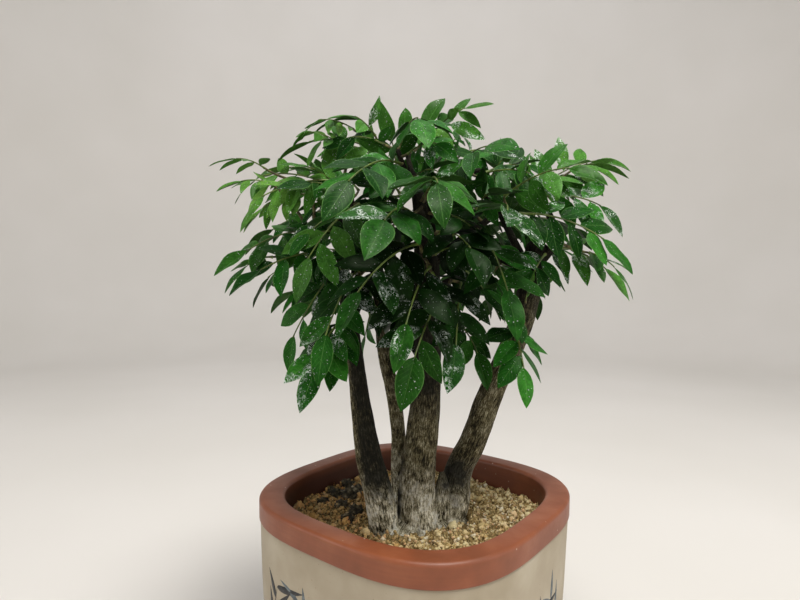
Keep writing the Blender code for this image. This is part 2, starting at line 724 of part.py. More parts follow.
def plan_leaflets():
    """Leaflets of every spray: alternate along the stalk, one at its end, all clear of the rest."""
    taken = Neighbours()
    for tube in wood_tubes():
        taken.add(*tube_solid(tube), "wood")
    for spray in SPRAYS:
        taken.add(*tube_solid(stalk_rings(spray)), spray[0])
    leaflets = {spray[0]: [] for spray in SPRAYS}
    own = {spray[0]: [] for spray in SPRAYS}
    for rank, order, share, hand, size in leaflet_places():
        spray = SPRAYS[order]
        draw = random.Random(SEED + SEED_STEP * order + rank)
        for attempt in range(LEAF_TRIES):
            length = spray[4] * MM * size * draw.uniform(*LENGTH_DRAW) * (1 - TRY_SHRINK * attempt)
            choice = leaflet_choice(spray, share, hand, length, draw, 1.0 + TRY_SPREAD * attempt)
            corners, faces = choice.solid(LEAF_CLEARANCE)
            if taken.hit(corners, faces, spray[0]):
                continue
            if any(BVHTree.FromPolygons(corners, faces).overlap(tree) for tree in own[spray[0]]):
                continue
            leaflets[spray[0]].append(choice)
            corners, faces = choice.solid()
            taken.add(corners, faces, spray[0])
            own[spray[0]].append(BVHTree.FromPolygons(corners, faces))
            break
    return leaflets


def blade_mesh(leaflet):
    """A leaflet's mesh."""
    corners, faces = leaflet.solid()
    mesh = bpy.data.meshes.new("leaflet")
    mesh.from_pydata(corners, [], faces)
    return mesh


def make_sprays():
    """Every spray: a stalk with its leaflets sunk into it."""
    slot = material("leaves")
    leaflets = plan_leaflets()
    for spray in SPRAYS:
        stalk = loft("stalk", stalk_rings(spray))
        blades = [blade_mesh(leaflet) for leaflet in leaflets[spray[0]]]
        joined("spray_" + spray[0], stalk, blades, slot)


for thing in list(bpy.data.objects):
    bpy.data.objects.remove(thing)
make_pot()
make_net()
make_soil()
make_trunks()
make_sprays()
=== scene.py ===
import copy
import math
import random

import bpy
import numpy as np
from mathutils import Matrix, Vector
from mathutils.bvhtree import BVHTree


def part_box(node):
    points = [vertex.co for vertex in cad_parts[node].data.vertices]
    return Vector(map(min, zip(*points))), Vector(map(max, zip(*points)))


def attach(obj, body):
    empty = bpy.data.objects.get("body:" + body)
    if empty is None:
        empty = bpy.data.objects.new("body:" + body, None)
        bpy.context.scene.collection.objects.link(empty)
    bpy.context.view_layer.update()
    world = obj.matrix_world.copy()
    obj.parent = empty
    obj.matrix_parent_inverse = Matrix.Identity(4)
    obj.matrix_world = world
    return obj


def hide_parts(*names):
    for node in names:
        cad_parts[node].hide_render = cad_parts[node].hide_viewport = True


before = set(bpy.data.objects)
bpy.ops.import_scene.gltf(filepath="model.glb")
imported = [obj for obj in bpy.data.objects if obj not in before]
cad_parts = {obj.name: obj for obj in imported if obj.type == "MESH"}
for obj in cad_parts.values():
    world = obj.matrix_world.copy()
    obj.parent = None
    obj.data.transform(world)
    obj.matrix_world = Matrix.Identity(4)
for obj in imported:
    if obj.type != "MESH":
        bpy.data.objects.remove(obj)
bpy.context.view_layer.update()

# Pot: a slip-cast stoneware pot, a rounded square with an overhanging band at its rim. The body is
# bare buff clay. The band, the rim and the inside wall wear a brushed satin terracotta slip.
# A pattern's scale is written as its cells to a millimetre, over a millimetre in metres.
MM = 0.001
SEED = 11
POT_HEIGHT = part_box("pot")[1].z
POT_HALF = 80 * MM
POT_SQUARENESS = 3.05
POT_TURN = math.radians(52.25)
POT_COLUMNS = 224
FOOT_HALF = 74 * MM
FOOT_ROUND = 1.5 * MM
BODY_TOP_HALF = 79.4 * MM
BELLY_HALF = 77.0 * MM
BAND_FOOT = POT_HEIGHT - 12.1 * MM
BAND_UNDERCUT = 0.5 * MM
RIM_ROUND = 2.2 * MM
WALL = 12.7 * MM
FLOOR = 9 * MM
FLOOR_HALF = 58 * MM
FLOOR_ROUND = (3 * MM, 4 * MM)
SLIP_DEPTH = 98 * MM
DRAIN_RADIUS = 6 * MM
DRAIN_REACH = 21.8 * MM
DRAIN_COLUMNS = 32
# The inside wall darkens below the rim over this fall: partly damp, partly painted shade.
INSIDE_DARK_FROM = POT_HEIGHT - 0.6 * MM
INSIDE_DARK_FALL = 2.5 * MM
HAND_WAVE = 0.10 * MM


def linear(colour):
    """A linear RGBA colour from an sRGB hex value."""
    parts = [int(colour[k:k + 2], 16) / 255 for k in (1, 3, 5)]
    return (*[c / 12.92 if c <= 0.04045 else ((c + 0.055) / 1.055) ** 2.4 for c in parts], 1.0)


def feed(node, inputs):
    """Set or link a node's inputs. A node given as a value stands for its first output in use."""
    for name, value in inputs.items():
        if isinstance(value, bpy.types.Node):
            value = next(output for output in value.outputs if output.enabled)
        if isinstance(value, bpy.types.NodeSocket):
            node.id_data.links.new(value, node.inputs[name])
        else:
            node.inputs[name].default_value = value


def add_node(tree, kind, inputs=None, stops=None, **settings):
    """A node with its settings, its inputs as feed takes them, and stops for a ramp's colours."""
    made = tree.nodes.new("ShaderNode" + kind)
    for name, value in settings.items():
        setattr(made, name, value)
    feed(made, inputs or {})
    for k, (place, colour) in enumerate(stops or []):
        bands = made.color_ramp.elements
        band = bands[k] if k < 2 else bands.new(place)
        band.position = place
        band.color = linear(colour)
    return made


def begin_material(name, roughness, **sockets):
    """A new material with its shader, and the shader's constant values by socket name."""
    made = bpy.data.materials.new(name)
    made.use_nodes = True
    shader = made.node_tree.nodes["Principled BSDF"]
    feed(shader, {"Roughness": roughness})
    feed(shader, {socket.replace("_", " "): value for socket, value in sockets.items()})
    return made, made.node_tree, shader


def put(name, points, faces, materials, smooth=True):
    """A new object at the origin from corner places and faces."""
    mesh = bpy.data.meshes.new(name)
    mesh.from_pydata(np.asarray(points).reshape(-1, 3).tolist(), [], faces)
    for finish in materials:
        mesh.materials.append(finish)
    if smooth:
        mesh.shade_smooth()
    made = bpy.data.objects.new(name, mesh)
    bpy.context.scene.collection.objects.link(made)
    return made


def mark(made, label, values):
    """Give each corner of a piece a number, which its material reads by the label."""
    spots = made.data.attributes.new(label, "FLOAT", "POINT")
    spots.data.foreach_set("value", np.asarray(values).astype(np.float32))


def coat(made, which):
    """Give each face of a piece its finish, by the finish's place in the piece's list."""
    made.data.polygons.foreach_set("material_index", np.asarray(which).astype(np.int32))


def full_turn(steps):
    """Even angles once round a circle."""
    return np.linspace(0, 2 * np.pi, steps, endpoint=False)


def ring_faces(rows, columns, start=0):
    """Four-cornered faces over rows of closed rings, one column to the next."""
    row, column = np.meshgrid(np.arange(rows - 1), np.arange(columns), indexing="ij")
    here = start + row * columns + column
    beside = start + row * columns + (column + 1) % columns
    return np.stack([here, beside, beside + columns, here + columns], axis=-1).reshape(-1, 4).tolist()


def rounded_square(half, turn):
    """x and y on the superellipse |x|^n + |y|^n = half^n, turned as the pot stands."""
    power = 2.0 / POT_SQUARENESS
    x = half * np.sign(np.cos(turn)) * np.abs(np.cos(turn)) ** power
    y = half * np.sign(np.sin(turn)) * np.abs(np.sin(turn)) ** power
    cosine, sine = math.cos(POT_TURN), math.sin(POT_TURN)
    return x * cosine - y * sine, x * sine + y * cosine


def even_turns(shares):
    """The angles that stand at given shares of the way round the pot's outline."""
    dense = np.linspace(0.0, 2 * np.pi, 4097)
    x, y = rounded_square(1.0, dense)
    way = np.concatenate([[0.0], np.cumsum(np.hypot(np.diff(x), np.diff(y)))])
    return np.interp(np.asarray(shares) % 1.0, way / way[-1], dense)


def arc(middle, radius, start, stop, steps):
    """Points on part of a circle in the pot's profile, between two angles in degrees."""
    turn = np.radians(np.linspace(start, stop, steps))
    return np.column_stack([middle[0] + radius * np.cos(turn), middle[1] + radius * np.sin(turn)])


def inner_half(z):
    """Half the pot's inner width at a height: straight from the floor's rounding up to the rim."""
    low_z = FLOOR + FLOOR_ROUND[1]
    share = (z - low_z) / (POT_HEIGHT - RIM_ROUND - low_z)
    return FLOOR_HALF + FLOOR_ROUND[0] + (POT_HALF - WALL - FLOOR_HALF - FLOOR_ROUND[0]) * share


def body_half(z):
    """Half the body's outer width at a height: straight from foot to band, plus a parabola's swell."""
    share = (z - FOOT_ROUND) / (BAND_FOOT - FOOT_ROUND)
    swell = BELLY_HALF - 0.55 * FOOT_HALF - 0.45 * BODY_TOP_HALF
    return FOOT_HALF + (BODY_TOP_HALF - FOOT_HALF) * share + 4 * swell * share * (1 - share)


def pot_profile():
    """The turned-up section of the pot, from under its foot, over the rim and down to its floor."""
    side = np.linspace(FOOT_ROUND, BAND_FOOT - 1.2 * MM, 26)
    inside = np.linspace(POT_HEIGHT - RIM_ROUND, FLOOR + FLOOR_ROUND[1], 24)
    undercut = BODY_TOP_HALF - BAND_UNDERCUT
    lip = POT_HALF - 0.7 * MM
    top = POT_HEIGHT - RIM_ROUND
    return np.concatenate([
        [[FOOT_HALF - 9 * MM, 0.0], [FOOT_HALF - FOOT_ROUND - 0.5 * MM, 0.0]],
        arc((FOOT_HALF - FOOT_ROUND, FOOT_ROUND), FOOT_ROUND, -90, -12, 5),
        np.column_stack([body_half(side), side]),
        [[undercut + 0.2 * MM, BAND_FOOT - 0.5 * MM], [undercut, BAND_FOOT - 0.1 * MM]],
        [[undercut + 0.4 * MM, BAND_FOOT]],
        arc((lip, BAND_FOOT + 0.7 * MM), 0.7 * MM, -80, 0, 5),
        np.column_stack([np.full(6, POT_HALF), np.linspace(BAND_FOOT + 1.6 * MM, top - 0.4 * MM, 6)]),
        arc((POT_HALF - RIM_ROUND, top), RIM_ROUND, 0, 84, 8),
        [[POT_HALF - WALL / 2, POT_HEIGHT]],
        arc((POT_HALF - WALL + RIM_ROUND, top), RIM_ROUND, 96, 180, 8),
        np.column_stack([inner_half(inside[1:]), inside[1:]]),
        [[FLOOR_HALF + 1.2 * MM, FLOOR + 0.9 * MM], [FLOOR_HALF - 2 * MM, FLOOR]],
    ])


def square_reach(x, y):
    """The half width of the rounded square that passes through a place."""
    a = np.abs(x * math.cos(POT_TURN) + y * math.sin(POT_TURN))
    b = np.abs(-x * math.sin(POT_TURN) + y * math.cos(POT_TURN))
    return (a ** POT_SQUARENESS + b ** POT_SQUARENESS) ** (1 / POT_SQUARENESS)


def buff_stoneware():
    """Bare fired stoneware: matte, cream-buff, with fine iron specks and slightly darker clouds."""
    made, tree, shader = begin_material("buff_stoneware", 0.62)
    where = add_node(tree, "TexCoord").outputs["Object"]
    clouds = add_node(tree, "TexNoise", {"Vector": where, "Scale": 0.038 / MM, "Detail": 4.0})
    tone = add_node(
        tree, "ValToRGB", {"Fac": clouds},
        stops=[(0.30, "#9A8E78"), (0.52, "#A59984"), (0.74, "#B0A692")])
    grit = add_node(tree, "TexVoronoi", {"Vector": where, "Scale": 0.64 / MM})
    speck = add_node(
        tree, "MapRange",
        {"Value": grit, "From Min": 0.10, "From Max": 0.22, "To Min": 0.55, "To Max": 0.0})
    rare = add_node(tree, "Math", {0: grit.outputs["Color"], 1: 0.80}, operation="GREATER_THAN")
    amount = add_node(tree, "Math", {0: speck, 1: rare}, operation="MULTIPLY")
    colour = add_node(tree, "Mix", {0: amount, 6: tone, 7: linear("#7A6247")}, data_type="RGBA")
    tooth = add_node(tree, "TexNoise", {"Vector": where, "Scale": 1.5 / MM, "Detail": 2.0})
    bump = add_node(tree, "Bump", {"Height": tooth, "Strength": 0.25, "Distance": 0.06 * MM})
    feed(shader, {"Base Color": colour, "Normal": bump})
    return made


def terracotta_slip():
    """Brushed satin terracotta slip: red-brown with faint level brush lines, pale chips, and an inside
    wall darkened below the rim, partly by damp and partly as painted shade.
    """
    made, tree, shader = begin_material("terracotta_slip", 0.40, Specular_IOR_Level=0.5)
    where = add_node(tree, "TexCoord").outputs["Object"]
    clouds = add_node(tree, "TexNoise", {"Vector": where, "Scale": 0.055 / MM, "Detail": 5.0})
    tone = add_node(
        tree, "ValToRGB", {"Fac": clouds},
        stops=[(0.28, "#743E22"), (0.50, "#824628"), (0.72, "#8F5232")])
    level = add_node(tree, "Mapping", {"Vector": where, "Scale": (0.018 / MM, 0.018 / MM, 0.7 / MM)})
    brush = add_node(tree, "TexNoise", {"Vector": level, "Scale": 1.0, "Detail": 3.0})
    streak = add_node(
        tree, "MapRange", {"Value": brush, "From Min": 0.35, "From Max": 0.7, "To Max": 0.28})
    brushed = add_node(tree, "Mix", {0: streak, 6: tone, 7: linear("#703720")}, data_type="RGBA")
    salt = add_node(tree, "TexVoronoi", {"Vector": where, "Scale": 0.42 / MM})
    spot = add_node(
        tree, "MapRange",
        {"Value": salt, "From Min": 0.10, "From Max": 0.24, "To Min": 0.55, "To Max": 0.0})
    rare = add_node(tree, "Math", {0: salt.outputs["Color"], 1: 0.84}, operation="GREATER_THAN")
    chip = add_node(tree, "Math", {0: spot, 1: rare}, operation="MULTIPLY")
    chipped = add_node(tree, "Mix", {0: chip, 6: brushed, 7: linear("#CDB9A8")}, data_type="RGBA")
    # The inside wall's darkening: partly damp, partly painted shade from the canopy.
    inside_damp_and_shade = add_node(tree, "Attribute", attribute_name="inside_damp_and_shade").outputs["Fac"]
    inside_darkened = add_node(tree, "MapRange", {"Value": inside_damp_and_shade, "To Max": 0.90})
    colour = add_node(tree, "Mix", {0: inside_darkened, 6: chipped, 7: linear("#32170E")}, data_type="RGBA")
    sheen = add_node(
        tree, "MapRange",
        {"Value": clouds, "From Min": 0.3, "From Max": 0.7, "To Min": 0.50, "To Max": 0.38})
    dents = add_node(tree, "TexNoise", {"Vector": where, "Scale": 0.26 / MM, "Detail": 3.0})
    bump = add_node(tree, "Bump", {"Height": dents, "Strength": 0.35, "Distance": 0.25 * MM})
    feed(shader, {"Base Color": colour, "Roughness": sheen, "Normal": bump})
    return made


def hand_wave(turn, z):
    """How far the hand-finished wall stands out or in: the product of two slow waves over it."""
    return HAND_WAVE * np.sin(3 * turn + 40 * z) * np.sin(5 * turn - 90 * z)


def throw_pot():
    """The pot as rings of its profile on the rounded square; drill cuts its drain holes."""
    profile = pot_profile()
    turn = even_turns(np.arange(POT_COLUMNS) / POT_COLUMNS)
    half, z = profile[:, :1], profile[:, 1:]
    x, y = rounded_square(half + hand_wave(turn, z), turn)
    points = np.stack([x, y, np.broadcast_to(z, x.shape)], axis=-1)
    faces = ring_faces(len(profile), POT_COLUMNS)
    last = (len(profile) - 1) * POT_COLUMNS
    faces.append(list(range(POT_COLUMNS))[::-1])
    faces.append([last + k for k in range(POT_COLUMNS)])
    pot = put("stoneware_pot", points, faces, [buff_stoneware(), terracotta_slip()])
    low = np.repeat(np.arange(len(profile) - 1), POT_COLUMNS)
    after_band = profile[:, 1].argmax() + 1
    inside = (low > after_band) & (profile[low, 1] > SLIP_DEPTH)
    coat(pot, np.append((profile[low, 1] > BAND_FOOT - 0.2 * MM) | inside, [False, False]))
    pot.data.set_sharp_from_angle(angle=math.radians(48))
    return pot


def drill(pot):
    """Cut the drain holes: four upright cylinders through the foot, their rims left crisp."""
    turn = full_turn(DRAIN_COLUMNS)
    for k in range(4):
        way = POT_TURN + (k + 0.5) * math.pi / 2
        x = DRAIN_REACH * math.cos(way) + DRAIN_RADIUS * np.cos(turn)
        y = DRAIN_REACH * math.sin(way) + DRAIN_RADIUS * np.sin(turn)
        rings = [np.stack([x, y, np.full(DRAIN_COLUMNS, z)], axis=-1) for z in (-FLOOR, 2 * FLOOR)]
        faces = ring_faces(2, DRAIN_COLUMNS)
        faces += [list(range(DRAIN_COLUMNS))[::-1], list(range(DRAIN_COLUMNS, 2 * DRAIN_COLUMNS))]
        bit = put("drain_bit", rings, faces, [], smooth=False)
        hole = pot.modifiers.new("drain", "BOOLEAN")
        hole.object = bit
        seen = pot.evaluated_get(bpy.context.evaluated_depsgraph_get())
        drilled = bpy.data.meshes.new_from_object(seen)
        pot.modifiers.clear()
        pot.data = drilled
        bpy.data.objects.remove(bit)


def darken_inside(pot):
    """Mark how dark the inside wall is, partly damp and partly painted shade: 0 at the rounded rim,
    growing below it, and most on the left, where the canopy's shadow is painted.
    """
    places = np.zeros(3 * len(pot.data.vertices))
    pot.data.vertices.foreach_get("co", places)
    x, y, z = places.reshape(-1, 3).T
    inside = square_reach(x, y) < POT_HALF - WALL + 0.4 * RIM_ROUND
    amount = np.clip((INSIDE_DARK_FROM - z) / INSIDE_DARK_FALL, 0, 1) * inside
    mark(pot, "inside_damp_and_shade", amount * np.clip(0.82 - 0.45 * x / POT_HALF, 0, 1))


pot = throw_pot()
drill(pot)
darken_inside(pot)
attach(pot, "root")
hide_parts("pot")

# Brush marks: sprigs of slender leaves painted on the bare body in iron-black and slate-blue
# under-glaze colour, each leaf a single press and lift of the brush, dry before firing.
BODY_GIRTH = 6.95 * POT_HALF
INK_LIFT = 0.06 * MM
INK_SUNK = 0.3 * MM
INK_LEAST_HALF = 0.06 * MM
STEM_WIDTH = 1.8 * MM
STEM_TAPER = 0.7
PRESS_WIDTH = 0.17
PRESS_TAPER = 0.62
PRESS_LEAN = (24, 58)
INKS = [("iron_black_ink", "#17181A", "#3A3A3B"), ("slate_ink", "#4A5358", "#707A7C")]
INK_ROWS = np.linspace(0.0, 1.0, 26)[:, None]
INK_BOW = 0.10
INK_COLUMNS = np.array([-1.0, 0.0, 1.0])
SPRIGS = [
    # share of the way round, height, lean in degrees, stem length, leaves, leaf length, dark or slate
    (0.395, 34, 62, 62, 9, 21, 0),
    (0.505, 56, 112, 38, 6, 17, 1),
    (0.630, 40, 80, 52, 8, 19, 1),
    (0.705, 22, 60, 66, 9, 21, 0),
    (0.812, 46, 112, 44, 7, 18, 1),
    (0.955, 30, 70, 60, 9, 20, 0),
    (0.120, 38, 104, 52, 8, 20, 0),
    (0.245, 48, 66, 42, 7, 18, 1),
]


def pot_face(along, z, lift):
    """Places on the outside of the pot's body: along is the way round it, as a share."""
    turn = even_turns(along)
    x, y = rounded_square(body_half(z) + hand_wave(turn, z) + lift, turn)
    return np.stack([x, y, z], axis=-1)


def brush_mark(along, z, lean, length, width, taper):
    """One mark as a closed skin: a leaning, bowed line that swells early and ends in a point."""
    t = INK_ROWS
    half = 0.5 * width * np.sin(np.pi * t ** taper) ** 0.8 + INK_LEAST_HALF
    bow = INK_BOW * length * t * t
    across = INK_COLUMNS * half + bow
    run = length * t
    dx = run * math.cos(lean) - across * math.sin(lean)
    dz = run * math.sin(lean) + across * math.cos(lean)
    lift = INK_LIFT * np.where(INK_COLUMNS == 0.0, 1.0, 0.2)
    skin = pot_face(along + dx / BODY_GIRTH, z + dz, np.broadcast_to(lift, dx.shape))
    back = pot_face(along + dx / BODY_GIRTH, z + dz, np.full(dx.shape, -INK_SUNK))
    return np.concatenate([skin, back[:, ::-1]], axis=1)


def paint_sprigs():
    """Every sprig's stem and its leaves, which spring from it on both sides by turns."""
    draw = random.Random(SEED)
    marks = []
    shades = []
    for along, z, lean, reach, leaves, size, shade in SPRIGS:
        lean = math.radians(lean)
        marks.append(brush_mark(along, z * MM, lean, reach * MM, STEM_WIDTH, STEM_TAPER))
        shades.append(shade)
        for k in range(leaves):
            t = (k + 1.0) / leaves
            bow = INK_BOW * reach * t * t
            spot = along + (t * reach * math.cos(lean) - bow * math.sin(lean)) * MM / BODY_GIRTH
            hand = 1 if k % 2 else -1
            turn = lean + hand * math.radians(draw.uniform(*PRESS_LEAN))
            length = size * MM * draw.uniform(0.7, 1.1)
            height = (z + t * reach * math.sin(lean) + bow * math.cos(lean)) * MM
            length = min(length, (BAND_FOOT - 5 * MM - height) / max(math.sin(turn), 0.05))
            if length > 0.35 * size * MM:
                marks.append(brush_mark(spot, height, turn, length, size * MM * PRESS_WIDTH, PRESS_TAPER))
                shades.append(shade)
    return np.array(marks), shades


def brushed_ink():
    """Iron-black and slate under-glaze colours: matte, thinner and greyer where the brush ran dry."""
    finishes = []
    for name, thick, thin in INKS:
        made, tree, shader = begin_material(name, 0.55)
        where = add_node(tree, "TexCoord").outputs["Object"]
        dry = add_node(tree, "TexNoise", {"Vector": where, "Scale": 0.42 / MM, "Detail": 4.0})
        tone = add_node(tree, "ValToRGB", {"Fac": dry}, stops=[(0.45, thick), (0.70, thin)])
        feed(shader, {"Base Color": tone})
        finishes.append(made)
    return finishes


marks, shades = paint_sprigs()
rows, columns = marks.shape[1:3]
skin = np.array(ring_faces(rows, columns))[:, ::-1]
ends = np.array([[0, 1, 4, 5], [1, 2, 3, 4]])
caps = np.concatenate([ends[:, ::-1], (rows - 1) * columns + ends])[:, ::-1]
offsets = np.arange(len(marks))[:, None, None] * rows * columns
faces = (np.concatenate([skin, caps])[None] + offsets).reshape(-1, 4).tolist()
ink = put("brushed_sprigs", marks, faces, brushed_ink())
coat(ink, np.repeat(shades, len(skin) + len(caps)))
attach(ink, "root")

# Drain net: a square of black polyethylene mesh, cut with scissors and laid over the drain holes
# before the soil goes in. Moulded in one shot, so its bars are smooth and slightly waxy.


def moulded_polyethylene():
    """Black moulded polyethylene: waxy, with a faint bloom of soil dust in patches."""
    made, tree, shader = begin_material("moulded_polyethylene", 0.45)
    where = add_node(tree, "TexCoord").outputs["Object"]
    dust = add_node(tree, "TexNoise", {"Vector": where, "Scale": 0.3 / MM, "Detail": 5.0})
    tone = add_node(tree, "ValToRGB", {"Fac": dust}, stops=[(0.5, "#1B1B1A"), (0.8, "#4B4033")])
    feed(shader, {"Base Color": tone})
    return made


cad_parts["drain_net"].data.materials.clear()
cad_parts["drain_net"].data.materials.append(moulded_polyethylene())

# Soil: grit of fired clay and pumice, 1 to 3 mm with lumps up to 6 mm, heaped a little round the
# trunks. Dark crusts of old moss and lava lie on it at the left, where it is damper, and clods of
# caked grit at the right.
SOIL_LEVEL = 114 * MM
SOIL_HEAP = 3 * MM
SOIL_WAVES = ((17 * MM, 0.6 * MM), (7 * MM, 0.95 * MM), (3.4 * MM, 0.75 * MM))
SOIL_GAP = 0.3 * MM
SOIL_COLUMNS = 192
SOIL_RINGS = 60
STONES = [(-41, 17, 6.5), (-50, 20, 5), (-35, -6, 5.5), (-44, 36, 5), (38, 24, 4.5), (22, 40, 4)]
CRUSTS = [(-31, -27, 5.2), (-39, -17, 4.6), (-45, 4, 5.0), (-53, 30, 4.4), (-57, 14, 4.2), (-36, 27, 4.8)]
STONE_RISE = 0.7
CROWN_CENTRE = (1, -12)
CROWN_LOBES = [(-16, -24, 11.5), (-9, 6, 9.5), (-1, -20, 14), (18, -9, 13)]
CROWN_WAIST = 15
CROWN_DEPTH = 26 * MM
CROWN_GAP = 0.4 * MM
CROWN_SOFTENING = (-0.24, -0.12, 0.0, 0.12, 0.24)
GRAINS = 8800
GRAIN_RADIUS = (0.36 * MM, 1.30 * MM)
GRAIN_DENTS = (0.66, 1.20)
GRAIN_STRETCH = (0.70, 1.15)
CLODS = 260
CLOD_RADIUS = (1.3 * MM, 3.0 * MM)
TONE_CLOUDS = 9 * MM
# The soil is damp left of this line and dries over this width, in clouds of this size.
DAMP_LINE = -14 * MM
DAMP_WIDTH = 44 * MM
DAMP_CLOUDS = 13 * MM
STONE_GRID = (18, 28)
STONE_FIT = 0.82


def crown_reach(turn):
    """How far the root crown reaches each way: to its furthest lobe's circle, averaged over near ways."""
    reach = 0.0
    for step in CROWN_SOFTENING:
        x, y = np.cos(turn + step), np.sin(turn + step)
        furthest = np.full(np.shape(turn), float(CROWN_WAIST))
        for lobe_x, lobe_y, radius in CROWN_LOBES:
            along = (lobe_x - CROWN_CENTRE[0]) * x + (lobe_y - CROWN_CENTRE[1]) * y
            aside = (lobe_x - CROWN_CENTRE[0]) * y - (lobe_y - CROWN_CENTRE[1]) * x
            inside = np.sqrt(np.maximum(radius * radius - aside * aside, 0.0))
            furthest = np.where(np.abs(aside) < radius, np.maximum(furthest, along + inside), furthest)
        reach = reach + furthest / len(CROWN_SOFTENING)
    return reach * MM


def waves(x, y, size, seed, count=9):
    """A smooth random field: a sum of plane waves of about one size, with seeded directions."""
    draw = np.random.RandomState(seed)
    total = 0.0
    angles = draw.uniform(0, np.pi, count)
    phases = draw.uniform(0, 2 * np.pi, count)
    stretches = draw.uniform(0.6, 1.7, count)
    for angle, phase, stretch in zip(angles, phases, stretches):
        pull = 2 * np.pi / (size * stretch)
        total = total + np.sin(pull * (x * np.cos(angle) + y * np.sin(angle)) + phase)
    return total / math.sqrt(count / 2)


def inward_share(x, y):
    """0 at the pot's wall and 1 at the root crown: the way to the wall, as a share of both ways."""
    away_x, away_y = x - CROWN_CENTRE[0] * MM, y - CROWN_CENTRE[1] * MM
    near = crown_reach(np.arctan2(away_y, away_x))
    from_crown = np.hypot(away_x, away_y) - near
    to_wall = inner_half(SOIL_LEVEL) - square_reach(x, y)
    return np.clip(to_wall / np.maximum(to_wall + from_crown, 1e-6), 0.0, 1.0)


def soil_height(x, y):
    """The soil's top: a low heap towards the crown, a gentle unevenness, and a rise under each stone."""
    top = SOIL_LEVEL + SOIL_HEAP * inward_share(x, y)
    for k, (size, height) in enumerate(SOIL_WAVES):
        top = top + height * waves(x, y, size, SEED + k)
    for stone_x, stone_y, radius in STONES:
        away = np.hypot(x / MM - stone_x, y / MM - stone_y) / radius
        mound = 0.35 * STONE_RISE * radius * MM * (1 - away ** 2)
        top = np.maximum(top, SOIL_LEVEL + SOIL_HEAP / 2 + mound)
    return top


def dampness(x, y):
    """How wet the soil is, 0 to 1: more to the left, in clouds."""
    wet = 0.42 - (x - DAMP_LINE) / DAMP_WIDTH + 0.28 * waves(x, y, DAMP_CLOUDS, SEED + 7)
    return np.clip(wet, 0.0, 1.0)


def fired_clay_granules():
    """Fired clay and pumice granules: matte, sandy tan with some cream, orange and olive ones."""
    made, tree, shader = begin_material("fired_clay_granules", 0.9, Specular_IOR_Level=0.25)
    where = add_node(tree, "TexCoord").outputs["Object"]
    kind = add_node(tree, "Attribute", attribute_name="tone").outputs["Fac"]
    tone = add_node(
        tree, "ValToRGB", {"Fac": kind},
        stops=[(0.0, "#C8B27E"), (1.0, "#ECE4CB"), (0.16, "#E0CA96"), (0.32, "#E8D6A8"), (0.5, "#DACE9F"),
               (0.62, "#E8D7AB"), (0.76, "#DEB487"), (0.88, "#E8DAB8")])
    grit = add_node(tree, "TexNoise", {"Vector": where, "Scale": 1.4 / MM, "Detail": 3.0})
    # Darker and browner where damp, and in the hollows between crumbs, where the darkening is painted
    # shade.
    soil_damp_and_shade = add_node(tree, "Attribute", attribute_name="soil_damp_and_shade").outputs["Fac"]
    shade = add_node(
        tree, "MapRange",
        {"Value": grit, "From Min": 0.3, "From Max": 0.7, "To Min": 0.80, "To Max": 1.05})
    wet = add_node(
        tree, "Mix", {0: soil_damp_and_shade, 6: (1.03, 1.03, 1.03, 1.0), 7: (0.86, 0.65, 0.45, 1.0)}, data_type="RGBA")
    damp_and_shade_tinted = add_node(tree, "VectorMath", {0: tone, 1: wet}, operation="MULTIPLY")
    colour = add_node(tree, "VectorMath", {0: damp_and_shade_tinted, "Scale": shade}, operation="SCALE")
    bump = add_node(tree, "Bump", {"Height": grit, "Strength": 0.6, "Distance": 0.25 * MM})
    feed(shader, {"Base Color": colour, "Normal": bump})
    return made


def sandy_soil():
    """Fine grit under the granules: sandy crumbs under a millimetre wide, browner where it is damp, and
    darker in the hollows as painted shade.
    """
    made, tree, shader = begin_material("sandy_soil", 0.9, Specular_IOR_Level=0.25)
    where = add_node(tree, "TexCoord").outputs["Object"]
    crumbs = add_node(tree, "TexVoronoi", {"Vector": where, "Scale": 1.15 / MM})
    clouds = add_node(tree, "TexNoise", {"Vector": where, "Scale": 0.3 / MM, "Detail": 5.0})
    mixed = add_node(tree, "Math", {0: crumbs.outputs["Color"], 1: clouds}, operation="MULTIPLY")
    tone = add_node(
        tree, "ValToRGB", {"Fac": mixed}, stops=[(0.05, "#5A4A2C"), (0.5, "#D2BA84"), (0.25, "#9E8656")])
    # Darker where damp, and in the hollows between crumbs, where the darkening is painted shade.
    soil_damp_and_shade = add_node(tree, "Attribute", attribute_name="soil_damp_and_shade").outputs["Fac"]
    wet = add_node(tree, "MapRange", {"Value": soil_damp_and_shade, "To Min": 0.92, "To Max": 0.70})
    colour = add_node(tree, "VectorMath", {0: tone, "Scale": wet}, operation="SCALE")
    bump = add_node(tree, "Bump", {"Height": crumbs, "Strength": 0.8, "Distance": 0.5 * MM}, invert=True)
    feed(shader, {"Base Color": colour, "Normal": bump})
    return made


